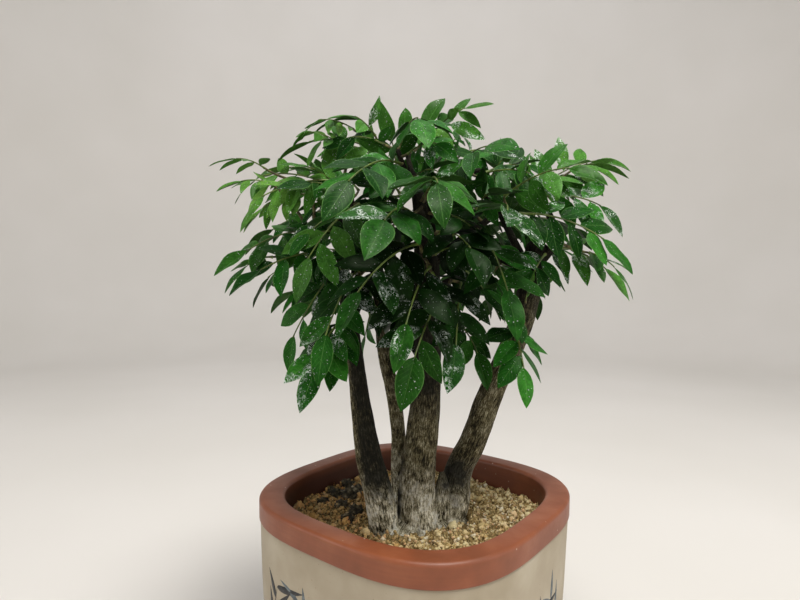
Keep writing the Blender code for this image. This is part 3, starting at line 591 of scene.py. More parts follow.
def fill_soil():
    """A closed body of soil: up the pot's wall, in over its uneven top, and down the crown's hole."""
    turn = POT_TURN + full_turn(SOIL_COLUMNS)
    bottom = FLOOR + 2.1 * MM
    side_low = FLOOR + FLOOR_ROUND[1]
    rings = []
    for half, z in ((FLOOR_HALF, bottom), (inner_half(side_low) - SOIL_GAP, side_low)):
        x, y = rounded_square(half, turn - POT_TURN)
        rings.append(np.stack([x, y, np.full(SOIL_COLUMNS, z)], axis=-1))
    edge_x, edge_y = rounded_square(inner_half(SOIL_LEVEL) - SOIL_GAP, turn - POT_TURN)
    hole = crown_reach(turn) + CROWN_GAP
    hole_x = CROWN_CENTRE[0] * MM + hole * np.cos(turn)
    hole_y = CROWN_CENTRE[1] * MM + hole * np.sin(turn)
    for inward in np.linspace(0.0, 1.0, SOIL_RINGS):
        x = edge_x + (hole_x - edge_x) * inward
        y = edge_y + (hole_y - edge_y) * inward
        rings.append(np.stack([x, y, soil_height(x, y)], axis=-1))
    hole_z = np.full(SOIL_COLUMNS, SOIL_LEVEL - CROWN_DEPTH - SOIL_GAP)
    rings.append(np.stack([hole_x, hole_y, hole_z], axis=-1))
    last = (len(rings) - 1) * SOIL_COLUMNS
    faces = ring_faces(len(rings), SOIL_COLUMNS)
    faces += [list(range(SOIL_COLUMNS))[::-1], [last + k for k in range(SOIL_COLUMNS)]]
    bed = put("soil_bed", rings, faces, [sandy_soil()])
    x, y, z = np.concatenate(rings).T
    # Damp, plus painted shade in the hollows between crumbs.
    mark(bed, "soil_damp_and_shade", dampness(x, y) + 0.5 * hollow_shade(x, y))
    return bed


def lump(rows, columns):
    """A unit ball's corners and faces, as rings between two poles, for granules and stones."""
    rise = np.linspace(-np.pi / 2, np.pi / 2, rows + 2)[1:-1, None]
    turn = full_turn(columns) + 0.5 * np.arange(rows)[:, None]
    level = np.cos(rise)
    ball = np.stack([level * np.cos(turn), level * np.sin(turn), np.sin(rise) + 0 * turn], axis=-1)
    points = np.concatenate([ball.reshape(-1, 3), [[0, 0, -1], [0, 0, 1]]])
    low, high = rows * columns, rows * columns + 1
    faces = ring_faces(rows, columns)
    faces += [[(k + 1) % columns, k, low] for k in range(columns)]
    start = (rows - 1) * columns
    faces += [[start + k, start + (k + 1) % columns, high] for k in range(columns)]
    return points, faces


def turned(points, draw, count):
    """Copies of some points, each turned by a unit quaternion made of four normal draws."""
    spin = draw.normal(size=(count, 4))
    w, x, y, z = (spin / np.linalg.norm(spin, axis=1, keepdims=True)).T
    turn = np.stack([
        np.stack([1 - 2 * (y * y + z * z), 2 * (x * y - z * w), 2 * (x * z + y * w)], axis=-1),
        np.stack([2 * (x * y + z * w), 1 - 2 * (x * x + z * z), 2 * (y * z - x * w)], axis=-1),
        np.stack([2 * (x * z - y * w), 2 * (y * z + x * w), 1 - 2 * (x * x + y * y)], axis=-1),
    ], axis=1)
    return np.einsum("nij,nkj->nki", turn, points)


def copies_of(faces, count, corners):
    """The faces of many copies of one shape, whose corners follow each other."""
    return [[k * corners + corner for corner in face] for k in range(count) for face in faces]


def hollow_shade(x, y):
    """How deep a place lies between the soil's crumbs, 0 to 1, where its colour is darkened as painted
    shade and browned as damp.
    """
    fine = waves(x, y, SOIL_WAVES[2][0], SEED + 2)
    coarse = waves(x, y, SOIL_WAVES[1][0], SEED + 1)
    return np.clip(0.45 - 0.5 * fine - 0.3 * coarse, 0, 1)


def scatter(name, count, radii, skew, shape, sunk, seed, finish):
    """Uneven balls strewn over the soil, turned at random and sunk in the bed by a share of their size.

    Small ones are the commonest: the radius grows with a random share to the power skew. Their colour
    drifts over the bed in clouds, with a random part for each.
    """
    draw = np.random.RandomState(seed)
    reach = inner_half(SOIL_LEVEL)
    x, y = draw.uniform(-1.25 * reach, 1.25 * reach, (2, 4 * count))
    radius = radii[0] + (radii[1] - radii[0]) * draw.uniform(0, 1, 4 * count) ** skew
    away_x, away_y = x - CROWN_CENTRE[0] * MM, y - CROWN_CENTRE[1] * MM
    clear = np.hypot(away_x, away_y) > crown_reach(np.arctan2(away_y, away_x)) + 0.3 * MM + 0.3 * radius
    kept = np.flatnonzero(clear & (square_reach(x, y) < reach - radius - 0.2 * MM))[:count]
    x, y, radius = x[kept], y[kept], radius[kept]
    ball, faces = lump(*shape)
    count = len(kept)
    shapes = ball[None] * draw.uniform(*GRAIN_DENTS, (count, len(ball), 1))
    shapes *= draw.uniform(*GRAIN_STRETCH, (count, 1, 3))
    z = soil_height(x, y) + radius * draw.uniform(*sunk, count)
    middles = np.stack([x, y, z], axis=-1)
    points = turned(shapes, draw, count) * radius[:, None, None] + middles[:, None]
    made = put(name, points, copies_of(faces, count, len(ball)), [finish])
    clouds = 0.26 * waves(x, y, TONE_CLOUDS, SEED + 5)
    tone = np.clip(0.5 + clouds + draw.uniform(-0.32, 0.32, count), 0, 1)
    # Damp, plus painted shade in the hollows between crumbs.
    soil_damp_and_shade = np.clip(dampness(x, y) + 0.55 * hollow_shade(x, y), 0, 1.4)
    mark(made, "tone", np.repeat(tone, len(ball)))
    mark(made, "soil_damp_and_shade", np.repeat(soil_damp_and_shade, len(ball)))
    return made


def weathered_crust():
    """Dark lava and dried moss crust: matt charcoal, paler and dusty in patches."""
    made, tree, shader = begin_material("weathered_crust", 0.85)
    where = add_node(tree, "TexCoord").outputs["Object"]
    pores = add_node(tree, "TexNoise", {"Vector": where, "Scale": 0.38 / MM, "Detail": 6.0})
    tone = add_node(
        tree, "ValToRGB", {"Fac": pores}, stops=[(0.36, "#201C14"), (0.74, "#9A927A"), (0.54, "#4E4632")])
    bump = add_node(tree, "Bump", {"Height": pores, "Strength": 0.9, "Distance": 0.9 * MM})
    feed(shader, {"Base Color": tone, "Normal": bump})
    return made


def caked_grit():
    """Clods of grit caked by clay: matt, sandy yellow, pitted between the grains, with painted shade in
    the pits.
    """
    made, tree, shader = begin_material("caked_grit", 0.9)
    where = add_node(tree, "TexCoord").outputs["Object"]
    grains = add_node(tree, "TexVoronoi", {"Vector": where, "Scale": 0.62 / MM})
    tone = add_node(
        tree, "ValToRGB", {"Fac": grains.outputs["Color"]},
        stops=[(0.0, "#8A7446"), (1.0, "#D9C697"), (0.5, "#B39B66")])
    pits = add_node(
        tree, "MapRange",
        {"Value": grains, "From Min": 0.2, "From Max": 0.75, "To Min": 1.0, "To Max": 0.0})
    # Painted shade: darker between the grains, where the pits are.
    dark = add_node(tree, "MapRange", {"Value": pits, "From Max": 0.5, "To Min": 0.45})
    colour = add_node(tree, "VectorMath", {0: tone, "Scale": dark}, operation="SCALE")
    bump = add_node(tree, "Bump", {"Height": pits, "Strength": 0.9, "Distance": 0.7 * MM})
    feed(shader, {"Base Color": colour, "Normal": bump})
    return made


def lay_stones():
    """Each crust or clod: a ball flattened to its height and dented by waves, half sunk in the soil."""
    ball, faces = lump(*STONE_GRID)
    shapes = []
    for k, (x, y, radius) in enumerate(STONES + CRUSTS):
        dents = 1 + 0.17 * waves(ball[:, 0] + ball[:, 2], ball[:, 1] - ball[:, 2], 0.9, SEED + k)
        dents += 0.10 * waves(ball[:, 0] - ball[:, 2], ball[:, 1] + ball[:, 2], 0.38, SEED + 50 + k)
        dents += 0.05 * waves(ball[:, 0] + 2 * ball[:, 1], ball[:, 2] - ball[:, 0], 0.2, SEED + 90 + k)
        size = np.array([1.0, 0.82, STONE_RISE]) * radius * MM * STONE_FIT
        spin = 1.3 * k
        shape = ball * dents[:, None] * size
        shape = np.stack([
            shape[:, 0] * math.cos(spin) - shape[:, 1] * math.sin(spin),
            shape[:, 0] * math.sin(spin) + shape[:, 1] * math.cos(spin),
            shape[:, 2],
        ], axis=-1)
        base = soil_height(np.array([x * MM]), np.array([y * MM]))[0]
        shapes.append(shape + [x * MM, y * MM, base + 0.12 * radius * MM])
    finishes = [weathered_crust(), caked_grit()]
    made = put("dark_crusts", shapes, copies_of(faces, len(shapes), len(ball)), finishes)
    coat(made, np.repeat([x > 0 for x, y, radius in STONES + CRUSTS], len(faces)))
    return made


bed = fill_soil()
clay = fired_clay_granules()
granules = scatter("soil_granules", GRAINS, GRAIN_RADIUS, 2.6, (2, 5), (0.0, 0.5), SEED, clay)
clods = scatter("soil_clods", CLODS, CLOD_RADIUS, 1.6, (4, 7), (-0.35, 0.10), SEED + 3, clay)
crusts = lay_stones()
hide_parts("soil")
for made in (bed, granules, clods, crusts):
    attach(made, "root")

# Trunks: four trunks from one root crown, with their branches and thin twigs. Old bark is split
# lengthwise in narrow plates and whitened by hard water near the soil; higher up, and in the crevices
# between trunks, it is painted almost black as shade under the canopy.
TRUNKS = {
    "left": [
        (-15, -23, 108, 11), (-17, -24, 118, 14), (-20, -24, 131, 15.4), (-26, -23, 151, 14.2),
        (-31, -21, 178, 11.2), (-34, -20, 200, 9.6), (-38, -18, 228, 8.4), (-42, -13, 250, 7.4),
        (-44, -6, 270, 6.0), (-47, 1, 288, 4.6), (-47, 8, 306, 3.2),
    ],
    "back": [
        (-7, 5, 108, 8), (-9, 7, 122, 9.8), (-10, 9, 138, 9.4), (-11, 10, 157, 8.5), (-14, 12, 180, 8.4),
        (-20, 16, 206, 7.8), (-23, 19, 233, 7.2), (-26, 22, 256, 6.4), (-28, 24, 280, 5.2),
        (-25, 24, 304, 4.0), (-23, 20, 322, 2.8),
    ],
    "centre": [
        (-1, -18, 108, 16), (-1, -18, 120, 19.6), (0, -16, 142, 19.2), (3, -14, 168, 17.8),
        (5, -12, 200, 15.4), (5, -11, 235, 14.6), (4, -10, 264, 13.4), (2, -8, 284, 10.4),
        (-2, -4, 304, 6.4), (-7, 0, 324, 3.4),
    ],
    "right": [
        (16, -9, 108, 14), (21, -7, 122, 17), (24, -5, 141, 15.4), (32, -4, 158, 15),
        (42, -1, 184, 14.6), (52, 1, 207, 13.8), (60, 3, 226, 13.6), (65, 4, 246, 13.6),
        (69, 5, 264, 13), (70, 5, 272, 12.2), (70.4, 5, 273.6, 10.4),
    ],
}
BRANCHES = [
    (4.6, 2.8, [(-42, -14, 250), (-55, -9, 262), (-62, -4, 276)]),
    (4.0, 2.6, [(-39, -17, 238), (-42, -8, 250), (-42, 4, 250)]),
    (4.2, 2.6, [(-44, -7, 268), (-37, -14, 284), (-38, -17, 298)]),
    (3.6, 2.6, [(-38, -18, 226), (-36, -25, 238), (-33, -25, 254)]),
    (3.8, 2.6, [(-26, 22, 255), (-36, 25, 263), (-48, 21, 266)]),
    (3.8, 2.6, [(-28, 24, 278), (-38, 24, 290), (-42, 28, 302)]),
    (4.0, 2.6, [(-23, 19, 240), (-10, 30, 253), (6, 34, 261), (18, 32, 266)]),
    (4.0, 2.6, [(-28, 24, 284), (-12, 34, 290), (6, 36, 292)]),
    (3.6, 2.4, [(-25, 24, 305), (-8, 27, 316), (6, 24, 322)]),
    (4.8, 3.0, [(4, -11, 264), (6, -23, 280), (1, -31, 292)]),
    (5.0, 2.8, [(4, -10, 256), (20, -12, 272), (36, -15, 284), (48, -17, 292)]),
    (4.8, 2.8, [(2, -8, 284), (14, -4, 302), (24, 6, 312), (36, 10, 317)]),
    (4.0, 2.6, [(-1, -5, 300), (-9, -14, 312), (-13, -15, 323)]),
    (4.2, 2.8, [(5, -12, 238), (10, -20, 248), (16, -26, 252)]),
    (4.6, 2.8, [(5, -12, 250), (4, -24, 258), (0, -32, 266)]),
    (4.8, 3.0, [(65, 5, 246), (62, 16, 258), (52, 24, 264)]),
    (5.4, 3.0, [(67, 6, 254), (57, 13, 276), (50, 20, 292), (42, 27, 304)]),
    (5.2, 3.2, [(68, 4, 258), (78, -2, 276), (72, -4, 292), (62, 0, 302)]),
    (3.8, 2.6, [(60, 2, 226), (55, -6, 226), (53, -10, 228)]),
    (3.8, 2.6, [(66, 8, 257), (73, 14, 266), (76, 12, 272)]),
]
# The bark's plates are about 0.7 mm wide, and six times as long as wide.
BARK_PLATE = 1 / (0.7 * MM)
ROOT_FLARES = {"left": 9.4, "back": 7.5, "centre": 13.5, "right": 10.5}
FOOT_SHIFTS = {"left": -2.6, "centre": 4.0}
FLARE_FALL = 11 * MM
WEBS = [
    ("web_right", [
        (12, -14, 108, 15), (13, -14, 120, 13), (14, -13.5, 130, 10), (14, -13, 138, 6.5),
        (14, -12.5, 143, 3)]),
]
# Dark damp on the bark: how much of it each trunk wears above its foot, and where it lies thickest.
SOOT = {"left": 0.12, "back": 0.0, "centre": 0.14, "right": 0.14, "web_right": 0.1}
DARK_SIDES = {"left": (0.62, -0.78)}
# Painted shade under the canopy: the bark darkens to almost black from this height, over this rise.
CANOPY_SHADE_FROM = (218 * MM, 30 * MM)
SOOT_FROM = (130 * MM, 13 * MM)
CROWN_COLUMNS = 96
CROWN_ROWS = 36
CROWN_CREASE = 0.9 * MM
CROWN_FOLD = 0.35 * MM
CROWN_BARK = 22 * MM
TRUNK_COLUMNS = 60
WEB_COLUMNS = 40
TRUNK_STEP = 1.0 * MM
BRANCH_COLUMNS = 18
BRANCH_STEP = 1.6 * MM
BARK_SHIFT = 0.31
FOOT_PALE = (122 * MM, 152 * MM)
# Spots of painted shade: in the crevices between trunks and under the canopy, each a place, a radius and
# a strength.
SHADE_SPOTS = [
    (22, -13, 141, 14, 0.85), (14, -9, 150, 8, 0.6), (4, -16, 212, 35, 0.97), (-6, -16, 148, 6, 0.7),
    (-10, -18, 132, 5, 1.0), (-10, -22, 126, 4, 0.9)]
CROWN_RISE = [(-26, 0.92), (-12, 1.0), (0, 0.97), (2, 0.91), (4, 0.80), (6, 0.60), (7, 0.35)]


def smooth_path(table, step):
    """Places and diameters along a table's points: a cubic curve through all of them, a step apart."""
    rows = np.array(table, float) * MM
    chord = np.linalg.norm(np.diff(rows[:, :3], axis=0), axis=1)
    knots = np.concatenate([[0.0], np.cumsum(chord)])
    slopes = np.gradient(rows, knots, axis=0)
    s = np.linspace(0.0, knots[-1], max(4, int(knots[-1] / step)))
    k = np.clip(np.searchsorted(knots, s, side="right") - 1, 0, len(knots) - 2)
    span = (knots[k + 1] - knots[k])[:, None]
    t = (s[:, None] - knots[k][:, None]) / span
    start, stop = rows[k], rows[k + 1]
    curve = start * (1 + 2 * t) * (1 - t) ** 2 + stop * t * t * (3 - 2 * t)
    curve += span * (slopes[k] * t * (1 - t) ** 2 - slopes[k + 1] * t * t * (1 - t))
    return curve, s


def tube(path, radii, columns, relief=None, domed=0.0):
    """Rings square to a path: each corner is a radius out from it, times its share in relief if given."""
    ahead = np.gradient(path, axis=0)
    ahead /= np.linalg.norm(ahead, axis=1, keepdims=True)
    reach = np.abs(path[-1] - path[0])
    side = np.eye(3)[reach.argmin()] - ahead * ahead[:, reach.argmin()][:, None]
    side /= np.linalg.norm(side, axis=1, keepdims=True)
    across = np.cross(ahead, side)
    turn = full_turn(columns)
    ring = side[:, None] * np.cos(turn)[:, None] + across[:, None] * np.sin(turn)[:, None]
    share = np.ones((len(path), columns)) if relief is None else relief
    points = path[:, None] + ring * (radii[:, None] * share)[..., None]
    low = (path[0] - ahead[0] * domed * radii[0])[None]
    high = (path[-1] + ahead[-1] * domed * radii[-1])[None]
    return np.concatenate([points.reshape(-1, 3), low, high])


def tube_faces(rows, columns, start=0):
    """The faces of a tube whose two ends are closed by fans to a middle point."""
    faces = ring_faces(rows, columns, start)
    low = start + rows * columns
    last = start + (rows - 1) * columns
    faces += [[start + (k + 1) % columns, start + k, low] for k in range(columns)]
    faces += [[last + k, last + (k + 1) % columns, low + 1] for k in range(columns)]
    return faces


def bark_relief(rows, columns, s, radius, seed):
    """Radii as shares: ribs that wander along the trunk, split by sharp lengthwise cracks."""
    draw = np.random.RandomState(seed)
    turn = full_turn(columns)[None]
    s = s[:, None] / MM
    drift = 0.35 * np.sin(s / 23.0 + draw.uniform(0, 6)) + 0.22 * np.sin(s / 9.0 + draw.uniform(0, 6))
    ribs = 0.045 * np.sin(3 * (turn + 0.4 * drift) + draw.uniform(0, 6))
    ribs += 0.03 * np.sin(5 * (turn - drift) + s / 31.0)
    cracks = 0.0
    for waves_round, pitch in ((7, 29.0), (11, 19.0), (16, 13.0)):
        wander = turn + 0.16 * np.sin(s / (0.37 * pitch) + draw.uniform(0, 6)) + drift / waves_round
        ridge = 1 - np.abs(np.sin(0.5 * (waves_round * wander) + s / pitch * draw.uniform(-0.6, 0.6)))
        cracks = cracks + ridge ** 5 * (0.6 + 0.4 * np.sin(s / pitch + draw.uniform(0, 6)))
    depth = np.minimum(0.5 * MM / np.maximum(radius, 1e-6), 0.075)[:, None]
    knobs = 0.02 * np.sin(s / 6.5 + 2 * turn) * np.sin(s / 4.1 - 3 * turn)
    return 1 + ribs + knobs - depth * cracks


def old_bark():
    """Old split bark: olive-grey fibres over black cracks, limed at the foot, dark where damp, and
    painted dark as shade under the canopy and in crevices.
    """
    made, tree, shader = begin_material("old_bark", 0.88, Specular_IOR_Level=0.2)
    maps = add_node(tree, "TexCoord")
    where = maps.outputs["Object"]
    parts = add_node(tree, "SeparateXYZ", {"Vector": where})
    split_way = add_node(
        tree, "Mapping", {"Vector": maps.outputs["UV"], "Scale": (BARK_PLATE, BARK_PLATE / 6, 1.0)})
    split = add_node(
        tree, "TexNoise", {"Vector": split_way, "Scale": 1.0, "Detail": 4.0, "Roughness": 0.75})
    speckle = add_node(tree, "TexNoise", {"Vector": where, "Scale": 1.3 / MM, "Detail": 3.0})
    patches = add_node(tree, "TexNoise", {"Vector": where, "Scale": 0.13 / MM, "Detail": 5.0})
    grain = add_node(tree, "Math", {0: speckle, 1: 0.20, 2: split}, operation="MULTIPLY_ADD")
    blotched = add_node(tree, "Math", {0: patches, 1: 0.55, 2: grain}, operation="MULTIPLY_ADD")
    plates = add_node(
        tree, "ValToRGB", {"Fac": blotched},
        stops=[(0.70, "#0C0B07"), (1.12, "#B0A98C"), (0.80, "#2E2A1A"), (0.89, "#5B543C"),
               (0.99, "#827B60")])
    pale = add_node(
        tree, "ValToRGB", {"Fac": blotched},
        stops=[(0.68, "#100E08"), (1.02, "#F4F0E0"), (0.76, "#454031"), (0.845, "#918A71"),
               (0.93, "#CCC6AF")])
    foot = add_node(
        tree, "MapRange",
        {"Value": parts.outputs["Z"], "From Min": FOOT_PALE[0], "From Max": FOOT_PALE[1],
         "To Min": 1.0, "To Max": 0.0})
    footed = add_node(tree, "Mix", {0: foot, 6: plates, 7: pale}, data_type="RGBA")
    drips = add_node(
        tree, "TexNoise", {"Vector": where, "Scale": 0.42 / MM, "Detail": 6.0, "Roughness": 0.7})
    spots = add_node(
        tree, "MapRange", {"Value": drips, "From Min": 0.49, "From Max": 0.60, "To Max": 0.90})
    crusted = add_node(tree, "MapRange", {"Value": patches, "From Min": 0.44, "From Max": 0.60})
    splashed = add_node(tree, "Math", {0: foot, 1: crusted}, operation="MULTIPLY")
    lime = add_node(tree, "Math", {0: splashed, 1: spots}, operation="MULTIPLY")
    limed = add_node(tree, "Mix", {0: lime, 6: footed, 7: linear("#DDDED6")}, data_type="RGBA")
    # Darkening by damp, and painted shade under the canopy and in crevices.
    bark_damp_and_shade = add_node(tree, "Attribute", attribute_name="bark_damp_and_shade").outputs["Fac"]
    moist = add_node(
        tree, "MapRange",
        {"Value": patches, "From Min": 0.36, "From Max": 0.64, "To Min": -0.30, "To Max": 0.30})
    dark = add_node(tree, "Math", {0: bark_damp_and_shade, 1: moist}, operation="ADD")
    darker = add_node(
        tree, "MapRange", {"Value": dark, "From Min": 0.15, "From Max": 0.85, "To Max": 0.93})
    colour = add_node(tree, "Mix", {0: darker, 6: limed, 7: linear("#0B0C07")}, data_type="RGBA")
    bump = add_node(tree, "Bump", {"Height": grain, "Strength": 1.0, "Distance": 0.7 * MM})
    feed(shader, {"Base Color": colour, "Normal": bump})
    return made


def lay_map(made, name, u, v):
    """Give a piece a UV map from the two numbers at each of its corners."""
    corner = np.zeros(len(made.data.loops), np.int32)
    made.data.loops.foreach_get("vertex_index", corner)
    places = np.stack([u, v], axis=-1)[corner]
    made.data.uv_layers.new(name=name).data.foreach_set("uv", places.ravel().astype(np.float32))


def darkness(points, own, dark_side=0.0):
    """How dark the bark is: a trunk's own share of damp and its dark side, and painted shade above a
    height under the canopy and at spots in crevices between trunks.
    """
    high = np.clip((points[:, 2] - CANOPY_SHADE_FROM[0]) / CANOPY_SHADE_FROM[1], 0, 1)
    low = np.clip((points[:, 2] - SOOT_FROM[0]) / SOOT_FROM[1], 0, 1)
    amount = np.maximum(np.maximum(own, dark_side) * low, high)
    for x, y, z, radius, strength in SHADE_SPOTS:
        away = np.linalg.norm(points - np.array([x, y, z]) * MM, axis=1) / (radius * MM)
        amount = np.maximum(amount, strength * np.exp(-away ** 2.5))
    return amount


def grow_wood():
    """The root crown, the trunks and the branches, each a bark-covered tube rooted in the last."""
    points, faces, along, around, bark_damp_and_shade = [], [], [], [], []
    corners = 0
    columns = CROWN_COLUMNS
    turn = POT_TURN + full_turn(columns)
    rise, share = np.array(CROWN_RISE).T
    rise = rise * MM
    fine = np.linspace(rise[0], rise[-1], CROWN_ROWS)[:, None]
    reach = crown_reach(turn) * np.interp(fine, rise, share)
    above = np.clip((fine + 2 * MM) / (6 * MM), 0, 1)
    creases = 1 - np.abs(np.sin(13 * turn + 5 * np.sin(3 * turn) + fine / (7 * MM)))
    folds = 1 - np.abs(np.sin(31 * turn))
    reach = reach - above * CROWN_CREASE * creases ** 3 - above * CROWN_FOLD * folds ** 2
    crown = np.stack([
        CROWN_CENTRE[0] * MM + reach * np.cos(turn),
        CROWN_CENTRE[1] * MM + reach * np.sin(turn),
        SOIL_LEVEL + fine + 0 * turn,
    ], axis=-1)
    ends = np.array([
        [CROWN_CENTRE[0] * MM, CROWN_CENTRE[1] * MM, SOIL_LEVEL + fine[0, 0]],
        [CROWN_CENTRE[0] * MM, CROWN_CENTRE[1] * MM, SOIL_LEVEL + fine[-1, 0] + 1 * MM],
    ])
    points.append(np.concatenate([crown.reshape(-1, 3), ends]))
    faces += tube_faces(len(fine), columns)
    along.append(np.append(np.repeat(fine[:, 0], columns), [fine[0, 0], fine[-1, 0]]))
    around.append(np.append(np.tile((turn - POT_TURN) * CROWN_BARK, len(fine)), [0, 0]))
    bark_damp_and_shade.append(darkness(points[-1], 0.1))
    corners += len(points[-1])
    tables = [(table, TRUNK_COLUMNS, TRUNK_STEP, name) for name, table in TRUNKS.items()]
    tables += [(table, WEB_COLUMNS, TRUNK_STEP, name) for name, table in WEBS]
    for root, tip, table in BRANCHES:
        widths = np.linspace(root, tip, len(table))
        rows = [(*row, width) for row, width in zip(table, widths)]
        tables.append((rows, BRANCH_COLUMNS, BRANCH_STEP, None))
    for k, (table, columns, step, name) in enumerate(tables):
        curve, s = smooth_path(table, step)
        radii = curve[:, 3] / 2
        if name in ROOT_FLARES:
            foot = np.exp(-np.maximum(curve[:, 2] - 110 * MM, 0) / FLARE_FALL)
            radii = radii + (ROOT_FLARES[name] * MM - table[1][3] * MM / 2) * foot
            curve[:, 0] += FOOT_SHIFTS.get(name, 0.0) * MM * foot
        relief = bark_relief(len(s), columns, s, radii, SEED + k)
        points.append(tube(curve[:, :3], radii, columns, relief, domed=0.12))
        faces += tube_faces(len(s), columns, corners)
        along.append(np.append(np.repeat(s, columns), [s[0], s[-1]]) + BARK_SHIFT * k)
        round_way = np.abs(np.linspace(-1, 1, columns, endpoint=False)) * np.pi * radii.mean()
        around.append(np.append(np.tile(round_way, len(s)), [0, 0]))
        dark_side = 0.0
        if name in DARK_SIDES:
            middles = np.concatenate([np.repeat(curve[:, :2], columns, axis=0), curve[[0, -1], :2]])
            facing_dark = (points[-1][:, :2] - middles) @ np.array(DARK_SIDES[name]) / radii.mean()
            dark_side = np.clip(0.22 + 1.05 * facing_dark, 0, 0.97)
        bark_damp_and_shade.append(darkness(points[-1], SOOT.get(name, 0.5), dark_side))
        corners += len(points[-1])
    wood = put("trunks_and_branches", np.concatenate(points), faces, [old_bark()])
    lay_map(wood, "grain", np.concatenate(around), np.concatenate(along))
    mark(wood, "bark_damp_and_shade", np.concatenate(bark_damp_and_shade))
    return wood


wood = grow_wood()
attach(wood, "root")
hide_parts("trunks")

# Leaves: pinnate sprays of leathery leaflets on thin green stalks, each stalk on its own twig. The
# leaflets alternate along the stalk with one at its end, and settle clear of one another.
SPRAYS = [
    # the name, where the stalk leaves its twig, the stalk's end, leaflets, longest leaflet, youth
    ("low_left_front", (-42, -28, 230), (-52, -50, 208), 7, 26, 0.05),
    ("low_left_hang", (-44, -4, 260), (-70, -16, 219), 7, 24, 0.05),
    ("low_centre", (14, -32, 247), (-4, -70, 216), 8, 27, 0.20),
    ("wet_left", (-2, -38, 270), (-30, -72, 246), 8, 27, 0.05),
    ("low_mid", (4, -38, 258), (-8, -76, 232), 5, 26, 0.05),
    ("low_right_mid", (22, -20, 250), (16, -60, 221), 6, 25, 0.05),
    ("low_right", (52, -12, 228), (53, -40, 207), 7, 23, 0.05),
    ("sprout", (61, -5, 240), (61, -16, 252), 4, 10, 0.75),
    ("inner_left", (-33, -27, 257), (-46, -60, 225), 7, 26, 0.05),
    ("left_low", (-60, -3, 279), (-98, -6, 267), 8, 25, 0.25),
    ("left_low_front", (-50, -10, 266), (-86, -24, 256), 7, 24, 0.05),
    ("left_mid_front", (-34, -20, 292), (-57, -44, 262), 7, 26, 0.45),
    ("left_mid_back", (-47, 16, 292), (-92, 30, 282), 7, 25, 0.05),
    ("left_upper", (-51, 8, 306), (-98, 18, 313), 8, 24, 0.70),
    ("left_young", (-40, -20, 304), (-83, -33, 294), 8, 22, 0.95),
    ("left_top_twigs", (-44, 27, 309), (-82, 34, 322), 7, 22, 0.65),
    ("top_left", (-25, 12, 328), (-66, 12, 333), 8, 24, 0.60),
    ("top_upright", (-13, 3, 312), (-16, -4, 329), 5, 24, 0.40),
    ("top_mid", (-11, -14, 328), (-3, -48, 331), 7, 26, 0.05),
    ("front_left_high", (-12, -22, 314), (-35, -66, 297), 8, 27, 0.05),
    ("front_high", (3, -36, 298), (5, -82, 294), 8, 27, 0.20),
    ("front_mid", (-5, -34, 286), (-18, -78, 278), 8, 27, 0.05),
    ("top_right", (-12, 0, 330), (17, 0, 341), 6, 25, 0.50),
    ("top_right_back", (14, 6, 318), (22, 22, 338), 6, 23, 0.05),
    ("right_top_front", (14, -8, 306), (31, -46, 318), 8, 26, 0.05),
    ("right_crown", (46, -18, 298), (74, -40, 309), 7, 24, 0.25),
    ("right_bud", (60, -2, 303), (73, -9, 309), 5, 19, 0.40),
    ("top_cover_right", (34, 2, 312), (60, -14, 311), 6, 22, 0.05),
    ("top_cover_left", (-45, 0, 301), (-61, -20, 312), 6, 21, 0.50),
    ("right_top", (66, 6, 302), (107, 14, 324), 8, 25, 0.45),
    ("right_mid", (70, -8, 299), (101, -10, 294), 7, 24, 0.05),
    ("right_low", (54, -20, 288), (96, -30, 274), 8, 25, 0.05),
    ("right_front", (46, -22, 286), (38, -68, 284), 8, 27, 0.05),
    ("inner_front", (10, -24, 276), (22, -62, 267), 6, 26, 0.05),
    ("inner_right", (32, -20, 278), (41, -56, 247), 6, 26, 0.05),
    ("right_far", (78, 2, 272), (109, 2, 259), 7, 24, 0.30),
    ("right_back_low", (74, 18, 268), (104, 38, 270), 7, 25, 0.05),
    ("right_back", (62, 20, 288), (102, 44, 286), 7, 25, 0.05),
    ("right_back_top", (58, 14, 306), (90, 38, 317), 8, 25, 0.30),
    ("top_far_right", (40, 12, 316), (68, 26, 322), 7, 24, 0.05),
    ("back_right", (44, 32, 288), (66, 78, 284), 5, 26, 0.05),
    ("back_right_low", (50, 30, 262), (80, 62, 246), 7, 25, 0.05),
    ("back_right_top", (40, 32, 308), (54, 70, 324), 7, 25, 0.05),
    ("back_low_right", (20, 36, 264), (32, 84, 246), 6, 26, 0.05),
    ("back_mid", (10, 40, 292), (14, 92, 288), 5, 26, 0.05),
    ("back_top", (8, 28, 324), (12, 66, 336), 7, 25, 0.05),
    ("top_back_right", (22, 14, 324), (44, 40, 334), 6, 23, 0.05),
    ("back_low_left", (-14, 34, 252), (-26, 80, 238), 6, 26, 0.05),
    ("back_mid_left", (-16, 38, 286), (-34, 88, 280), 5, 26, 0.05),
    ("back_top_left", (-12, 30, 318), (-24, 70, 328), 7, 25, 0.30),
    ("back_left_low", (-40, 29, 262), (-70, 62, 244), 7, 25, 0.05),
    ("back_left", (-40, 32, 288), (-76, 66, 282), 7, 25, 0.05),
    ("back_left_top", (-38, 32, 308), (-58, 64, 322), 7, 24, 0.05),
    ("top_back_left", (-27, 24, 326), (-50, 46, 338), 7, 23, 0.40),
    ("left_back_low", (-52, 19, 266), (-96, 36, 252), 7, 25, 0.05),
    ("left_lowest", (-43, 8, 250), (-76, 24, 244), 7, 25, 0.05),
]
